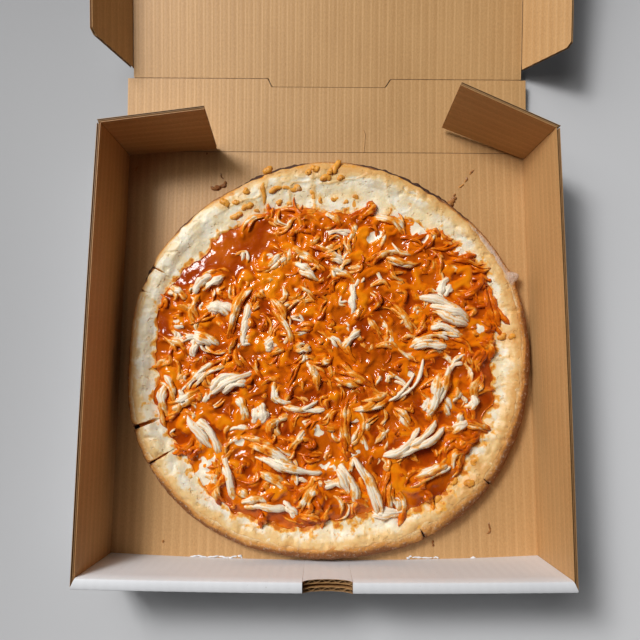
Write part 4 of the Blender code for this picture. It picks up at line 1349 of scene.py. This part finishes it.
def draw_strands(rows, weight):
    """Highest strand in each cell: every station is drawn as a small round stamp."""
    cells = np.zeros((MAP_CELLS, MAP_CELLS))
    lines = middle_lines(rows)
    between = np.linspace(0.0, 1.0, 4, endpoint=False)[None, None, :, None]
    lines = (lines[:, :-1, None] * (1.0 - between) + lines[:, 1:, None] * between).reshape(len(rows), -1, 2)
    radius = rows[:, 8][:, None]
    for dx in STAMP:
        for dy in STAMP:
            fall = 1.0 - (dx * dx + dy * dy) / (radius + 0.5) ** 2
            height = np.broadcast_to(weight * radius * np.sqrt(unit(fall)), lines.shape[:2])
            i = ((lines[..., 0] + dx - PIZZA[0] + MAP_HALF) / CELL).astype(int)
            j = ((lines[..., 1] + dy - PIZZA[1] + MAP_HALF) / CELL).astype(int)
            inside = (i >= 0) & (i < MAP_CELLS) & (j >= 0) & (j < MAP_CELLS) & (fall > 0.0)
            np.maximum.at(cells, (i[inside], j[inside]), height[inside])
    return cells


heap_cells = np.maximum(draw_strands(drowned_rows, 1.45), draw_strands(shred_rows, 1.0))
heap_cells = blurred(np.maximum(heap_cells, draw_strands(chunk_rows, 0.8)), 1)
mound_cells = blurred(heap_cells, 6)
print("heap of", MAP_CELLS, "by", MAP_CELLS, "cells, up to", round(float(heap_cells.max()), 2), "high")


def read_cells(cells, place):
    """Value between four neighbouring cells, blended by distance."""
    u = np.clip((place[..., 0] - PIZZA[0] + MAP_HALF) / CELL - 0.5, 0.0, MAP_CELLS - 1.001)
    v = np.clip((place[..., 1] - PIZZA[1] + MAP_HALF) / CELL - 0.5, 0.0, MAP_CELLS - 1.001)
    i, j = u.astype(int), v.astype(int)
    a, b = u - i, v - j
    i2, j2 = np.minimum(i + 1, MAP_CELLS - 1), np.minimum(j + 1, MAP_CELLS - 1)
    return ((1 - a) * (1 - b) * cells[i, j] + a * (1 - b) * cells[i2, j]
            + (1 - a) * b * cells[i, j2] + a * b * cells[i2, j2])


# %% [markdown]
# ## Sauce
#
# The sauce is thick and wet. It ends in a ragged, rounded edge on the cheese, and lets cheese
# show through in some places. Its gloss is what makes it look wet, and its colour tells how
# thick it is: deep red-brown in the hollows, golden orange where it only coats a strand.

# %% Sauce finish
SAUCE_LIP = 1.1
SAUCE_ANGLES = 960
SAUCE_ROWS = 93
# spots where white cheese shows through the sauce: column and row of the photograph's pixel,
# half length and half width in millimetres, direction in degrees
CHEESE_SPOTS = (
    (206, 470, 20, 7, 62), (190, 452, 9, 6, 20), (375, 238, 9, 5, 20), (420, 232, 9, 12, 30),
    (432, 205, 8, 6, 0), (270, 345, 5, 5, 0), (398, 498, 6, 5, 0), (330, 466, 9, 4, 0),
    (412, 372, 6, 5, 60), (300, 292, 5, 4, 0), (478, 330, 5, 7, 60), (240, 440, 7, 5, 30),
    (178, 322, 4, 5, 0), (462, 255, 6, 8, 40), (352, 452, 6, 4, 0), (317, 430, 5, 4, 40))


def sauce_finish():
    """Deep red-brown where it is thick, golden orange where thin, and bare over the cheese spots."""
    finish = Finish("sauce", Specular_IOR_Level=0.42)
    broad = finish.noise(50.0, 3.0)
    fine = finish.noise(260.0, 3.0)
    tone = finish.mix(finish.step(broad, 0.35, 0.68), (0.37, 0.045, 0.001), (0.60, 0.115, 0.002))
    thin = finish.attribute("thin") + (fine - 0.5) * 0.3 + (broad - 0.5) * 0.5
    tone = finish.fade(tone, thin, 0.3, 0.75, (0.83, 0.175, 0.002))
    tone = finish.fade(tone, thin, 0.75, 1.2, (0.94, 0.265, 0.004))
    lobes = finish.noise(150.0, 2.0) - 0.5
    bare = finish.step(finish.attribute("bare") + lobes * 1.3 + (fine - 0.5) * 0.25, 0.52, 0.60)
    finish.set(Base_Color=finish.mix(bare, tone, (0.97, 0.86, 0.66)))
    finish.set(Roughness=bare * 0.2 + 0.12)
    finish.bump(finish.noise(150.0, 2.0) + fine * 0.4, 0.0006)
    return finish


sauce = sauce_finish()
print("sauce finish of", len(sauce.tree.nodes), "nodes")

# %% Make the sauce
def sauce_level(place):
    """Height of the sauce between strands: level + swells, and higher where strands lie close."""
    mound = 1.2 * np.minimum(read_cells(mound_cells, place), 1.0)
    return SAUCE_TOP - 0.7 + 0.8 * lumps(place, 17.0, 2, 30.0) + mound


def make_sauce():
    """Height = bed + rounded edge * (level - bed + heap + drops)."""
    degrees = np.linspace(0.0, 360.0, SAUCE_ANGLES, endpoint=False)[:, None]
    edge = sauce_edge(degrees)
    radius = layer_rows(edge, 0.0, 3, SAUCE_LIP)[:, :-3]
    share = np.linspace(0.0, 1.0, SAUCE_ROWS)
    share = 1.0 - (1.0 - share) ** 1.1
    radius = np.concatenate([radius, (edge - SAUCE_LIP - 0.5) * (1.0 - share)[None, :] + 1.0], axis=1)
    from_edge = edge - radius
    lip = unit(from_edge / SAUCE_LIP)
    fat = np.sqrt(unit(1.0 - (1.0 - lip) ** 2))
    bed = np.maximum(rim_top(degrees, radius) + 0.9, CHEESE_TOP + 0.4)
    place = around(radius, degrees, 12.0)
    deep = sauce_level(place) - bed
    heap = read_cells(heap_cells, place)
    drops = 0.45 * np.clip(lumps(place, 5.0, 2, 17.0), -0.4, 1.0)
    thickness = 0.6 + np.clip(deep - 0.6, 0.0, None) * unit(from_edge / 5.0)
    thickness += (heap + drops) * np.clip(from_edge / 4.0, 0.1, 1.0)
    height = bed + fat * np.clip(thickness + 0.3, 0.5, None) - (1.0 - fat) * 1.4
    height[:, :2] = (bed - 1.8)[:, :2]
    points = around(radius, degrees, height)
    points[..., 2] = np.maximum(points[..., 2], CHEESE_LOW + 0.2)
    bare = spot_share(CHEESE_SPOTS, place) - 0.30 * unit(heap)
    thin = 0.35 * np.exp(-(from_edge / 3.5) ** 2) + np.clip(bare * 1.6, 0.0, 0.8) + 0.42 * heap
    thin += np.clip(lumps(place, 14.0, 2, 40.0), -0.3, 1.0) * 0.6
    turned_piece("sauce_bed", points, (CHEESE_LOW + 0.2, SAUCE_TOP), sauce, "chicken_in_sauce",
                 {"bare": bare, "thin": thin})


make_sauce()

# %% [markdown]
# ## Shredded chicken
#
# Each strand is a tube round its middle line, thick in the middle and thin at its ends, with a
# few soft ridges along it as muscle fibres have. All strands are worked out together as one
# array, with one row for each strand, so no loop runs over their points.

# %% Chicken finish
def chicken_finish():
    """Pale meat with fine fibres, under a coat of sauce that is thick, thin or missing."""
    finish = Finish("chicken", Specular_IOR_Level=0.45, Subsurface_Weight=0.08,
                    Subsurface_Radius=(0.003, 0.0015, 0.0008))
    fine = finish.noise(650.0, 3.0)
    broad = finish.noise(190.0, 3.0)
    wavy = finish.attribute("across") * 2.4 + (broad - 0.5) * 9.0
    fibres = finish.maths("SINE", wavy, 0.0) * 0.5 + 0.5
    coat = finish.mix(finish.step(broad, 0.38, 0.62), (0.58, 0.09, 0.002), (0.83, 0.18, 0.003))
    thin = finish.mix(fibres, (0.90, 0.24, 0.006), (0.96, 0.35, 0.030))
    pale = finish.attribute("pale") + (broad - 0.5) * 1.1 + (fine - 0.5) * 0.3 + (fibres - 0.5) * 0.10
    grooves = finish.step(fibres + (finish.noise(90.0, 2.0) - 0.5) * 2.6 + pale * 0.4, 0.1, 0.9)
    meat = finish.mix(grooves, (0.95, 0.60, 0.30), (1.0, 0.86, 0.66))
    tone = finish.fade(coat, pale, 0.16, 0.40, thin)
    tone = finish.fade(tone, pale, 0.43, 0.62, (0.93, 0.50, 0.15))
    tone = finish.fade(tone, pale, 0.62, 0.78, meat)
    finish.set(Base_Color=tone)
    finish.set(Roughness=finish.step(pale, 0.5, 0.8) * 0.25 + 0.2)
    finish.bump(fibres * 0.32 + broad * 0.5 + fine * 0.12, 0.0006)
    return finish


chicken = chicken_finish()
print("chicken finish of", len(chicken.tree.nodes), "nodes")

# %% The strands' surface
STRAND_SIDES = 8          # corners of a ring
SHRED_SIDES = 6


def tube_mesh(rows, ground, gnarl=1.0, stations=STATIONS, count=STRAND_SIDES):
    """Tubes on the ground: radius = r * sqrt(1 - |t|^3), flattened, with three soft ridges."""
    length, pale, lift, radius, seed = (rows[:, k][:, None] for k in (3, 6, 7, 8, 11))
    t = np.linspace(-1.0, 1.0, stations)[None, :]
    flat = middle_lines(rows, stations)
    arch = lift * (1.0 - 0.8 * t * t) + 0.3 * np.sin(3.1 * t + 2.3 * seed)
    middle = np.concatenate([flat, (ground(flat) + arch)[..., None]], -1)
    ahead = np.gradient(middle, axis=1)
    ahead /= np.linalg.norm(ahead, axis=-1, keepdims=True)
    side = np.cross(ahead, np.array([0.0, 0.0, 1.0]))
    side /= np.linalg.norm(side, axis=-1, keepdims=True)
    up = np.cross(side, ahead)
    uneven = 1.0 + gnarl * (0.24 * np.sin(4.0 * t + 3.0 * seed) + 0.16 * np.sin(9.0 * t + 5.0 * seed))
    thick = radius * np.sqrt(unit(1.0 - np.abs(t) ** 3.0)) * uneven + 0.1
    turn = 2.0 * np.pi * np.arange(count) / count + 0.5 * np.sin(1.5 * t + seed)[..., None]
    rough = 1.0 + 0.2 * gnarl * np.sin(3.0 * turn + 4.0 * t[..., None] + 5.0 * seed[..., None])
    width = 1.2 * thick[..., None] * np.cos(turn) * rough
    rise = 0.85 * thick[..., None] * np.sin(turn) * rough
    sideways = side[:, :, None, :] * width[..., None]
    points = middle[:, :, None, :] + sideways + up[:, :, None, :] * rise[..., None]
    low = 0.2 * unit(np.sin(turn)) - 0.35 * unit(0.35 - np.sin(turn))
    end = -0.25 * np.abs(t[..., None]) ** 3
    blotch = 0.5 * lumps(points, 8.0, 1, 50.0) + 0.4 * lumps(points, 3.6, 2, 54.0)
    pale = np.clip(pale[..., None] + low + end + blotch, 0.0, 1.2)
    return points, pale, width + seed[..., None]


def tube_faces(strands, stations=STATIONS, count=STRAND_SIDES):
    """Side faces of every tube at once, and a cap with a corner for each side at both ends."""
    index = np.arange(strands * stations * count).reshape(strands, stations, count)
    ahead = np.roll(index, -1, axis=2)
    sides = np.stack([index[:, :-1], ahead[:, :-1], ahead[:, 1:], index[:, 1:]], -1).reshape(-1, 4)
    return [sides, np.concatenate([index[:, 0, ::-1], index[:, -1]])]


def angle_and_reach(flat):
    """Polar place round the pizza's middle, from x and y."""
    away = flat - PIZZA[:2]
    return np.degrees(np.arctan2(away[..., 1], away[..., 0])), np.hypot(away[..., 0], away[..., 1])


def food_ground(flat):
    """Top of whatever lies under a strand: sauce, or beyond its edge the cheese on the rim."""
    place = np.concatenate([flat, np.full(flat.shape[:-1] + (1,), 12.0)], -1)
    degrees, reach = angle_and_reach(flat)
    on_cheese = np.maximum(rim_top(degrees, reach) + 1.2, CHEESE_TOP + 1.0)
    share = unit((sauce_edge(degrees) - reach) / 4.0)
    return on_cheese * (1.0 - share) + np.maximum(sauce_level(place), on_cheese) * share


# %% Make the chicken
def make_chicken(name, rows, stations, count):
    """All strands of one size, as one piece."""
    points, pale, across = tube_mesh(rows, food_ground, 1.0, stations, count)
    make_piece(name, points, tube_faces(len(rows), stations, count), [chicken], "tray", None,
               values={"pale": pale, "across": across})


make_chicken("chicken_chunks", chunk_rows, STATIONS, STRAND_SIDES)
make_chicken("chicken_shreds", shred_rows, SHRED_STATIONS, SHRED_SIDES)

# %% [markdown]
# ## Toasted cheese
#
# Near the rear the cheese browned in strings and blisters. They are made as the strands are, but
# of cheese, with a high value of its browning attribute.

# %% Strings and blisters of toasted cheese
TOASTED_LEVEL = 15.0


def cheese_ground(flat):
    """Top of the cheese without its bumps."""
    degrees, reach = angle_and_reach(flat)
    return np.maximum(rim_top(degrees, reach), filled_level(degrees, reach)) + 0.5


def marks_at(table, level, lift, seed_step):
    """Strand rows from a table of pixel, direction, length, bend and radius."""
    return np.array([(*place_of_pixel(column, row, level)[:2], direction, length, 0.0, bend, 0.0, lift,
                      radius, 0.0, 0.0, seed_step * seed)
                     for seed, (column, row, direction, length, bend, radius) in enumerate(table)])


def make_toasted():
    """Strings, a little flattened, sunk in the cheese."""
    table = [(column, row, direction, length, bend, width / 2.4)
             for column, row, direction, length, width, bend in TOASTED]
    rows = marks_at(table, TOASTED_LEVEL, 0.2, 1.0)
    points, _, _ = tube_mesh(rows, cheese_ground, 0.35)
    make_piece("toasted_cheese", points, tube_faces(len(rows)), [cheese], "tray", None,
               values={"bake": 0.86 + 0.22 * lumps(points, 4.0, 2, 61.0)})


make_toasted()

# %% [markdown]
# ## Crumbs and marks in the tray
#
# A burnt curl of crust, some crumbs, a few scratches in the kraft paper and white paper torn up
# along the foot of the front wall. All are short tubes on the floor, made as the strands are.

# %% Crumbs, scratches and torn paper
# column and row of the photograph's pixel, direction in degrees, length, bend, radius in millimetres
CRUMBS = (
    (216.0, 187.6, -8, 8.5, -1.5, 1.3), (223.5, 184.5, 62, 6.5, -1.6, 1.0),
    (489.5, 526.0, 100, 5.0, 1.0, 0.3), (488.5, 531.0, 70, 5.0, -1.5, 0.35),
    (432.5, 541.5, 30, 1.4, 0.0, 0.55), (433.0, 545.5, 0, 1.1, 0.0, 0.5),
    (451.0, 202.5, 30, 7.5, 0.5, 1.7), (455.0, 199.0, 50, 3.0, 0.0, 0.8),
    (163.0, 541.0, 20, 1.2, 0.0, 0.5), (222.0, 176.5, 120, 5.0, 0.8, 0.3),
    (207.0, 153.5, 0, 1.0, 0.0, 0.4))
SCRATCHES = (
    (454.0, 196.0, 52, 4.5, 0.0, 0.5), (461.0, 186.5, 45, 6.0, 0.4, 0.45),
    (466.0, 180.0, 55, 5.0, -0.3, 0.5), (472.0, 172.0, 52, 6.5, 0.3, 0.4),
    (137.0, 168.0, 60, 5.0, 0.3, 0.25))
TORN_PAPER = (
    (194.0, 556.2, 2, 6.0, 0.3, 0.3), (202.0, 556.3, -3, 8.0, 0.2, 0.35),
    (213.0, 556.5, 2, 9.0, 0.3, 0.32), (224.0, 556.8, -2, 8.0, -0.2, 0.36),
    (233.0, 556.7, 4, 6.0, 0.3, 0.42), (240.0, 556.5, -8, 3.5, 0.3, 0.6),
    (409.0, 557.2, 15, 4.0, 0.3, 0.5), (417.0, 557.4, 2, 7.0, -0.3, 0.4),
    (427.0, 557.6, -2, 8.0, 0.2, 0.32), (436.0, 557.6, 3, 4.0, 0.2, 0.35),
    (473.0, 557.6, 8, 3.5, 0.4, 0.7))


def tray_floor(flat):
    """Level of the floor's inner paper."""
    return np.full(flat.shape[:-1], BOARD + 0.1)


def make_marks(name, table, finish, height, toast):
    """Short tubes on the floor; a scratch is sunk until only its back shows."""
    rows = marks_at(table, BOARD, height, 3.0)
    points, _, _ = tube_mesh(rows, tray_floor, 0.8)
    make_piece(name, points, tube_faces(len(rows)), [finish], "tray", None,
               values={"toast": np.full(points.shape[:-1], toast)})


make_marks("crumbs", CRUMBS, dough, 0.25, 1.05)
make_marks("scratches", SCRATCHES, dough, -0.15, 1.0)
make_marks("torn_paper", TORN_PAPER, white, 0.1, 0.0)

# %% [markdown]
# ## Floor
#
# The table is left out. A floor catches the box's soft shadow. Its colour is painted shade and painted
# light: dark grey at the rear left, under the lamps, fading to near white at the front right.

# %% Floor
FLOOR_HALF = 3000.0
FLOOR_PAINTED_SHADE = (0.24, 0.24, 0.245)    # colour at the rear left, under the lamps
FLOOR_PAINTED_LIGHT = (0.95, 0.95, 0.96)      # and at the front right
floor_points = np.array([(-1, -1, 0), (1, -1, 0), (1, 1, 0), (-1, 1, 0)]) * FLOOR_HALF
floor_mesh = bpy.data.meshes.new("floor")
floor_mesh.from_pydata([tuple(p * MM) for p in floor_points], [], [(0, 1, 2, 3)])
floor_finish = Finish("floor", Roughness=0.55)
corner = floor_finish.tree.nodes.new("ShaderNodeSeparateXYZ")
floor_finish.connect(corner.inputs[0], floor_finish.places())
diagonal = Value(floor_finish, corner.outputs[0]) - Value(floor_finish, corner.outputs[1])
# Painted shade and painted light: the floor's colour darkens towards the rear left and brightens towards
# the front right.
floor_painted_shading = floor_finish.mix(floor_finish.step(diagonal, -0.65, 0.65), FLOOR_PAINTED_SHADE, FLOOR_PAINTED_LIGHT)
floor_finish.set(Base_Color=floor_painted_shading)
floor_mesh.materials.append(floor_finish.material)
floor = bpy.data.objects.new("floor", floor_mesh)
bpy.context.scene.collection.objects.link(floor)
print("floor", 2.0 * FLOOR_HALF * MM, "metres across")
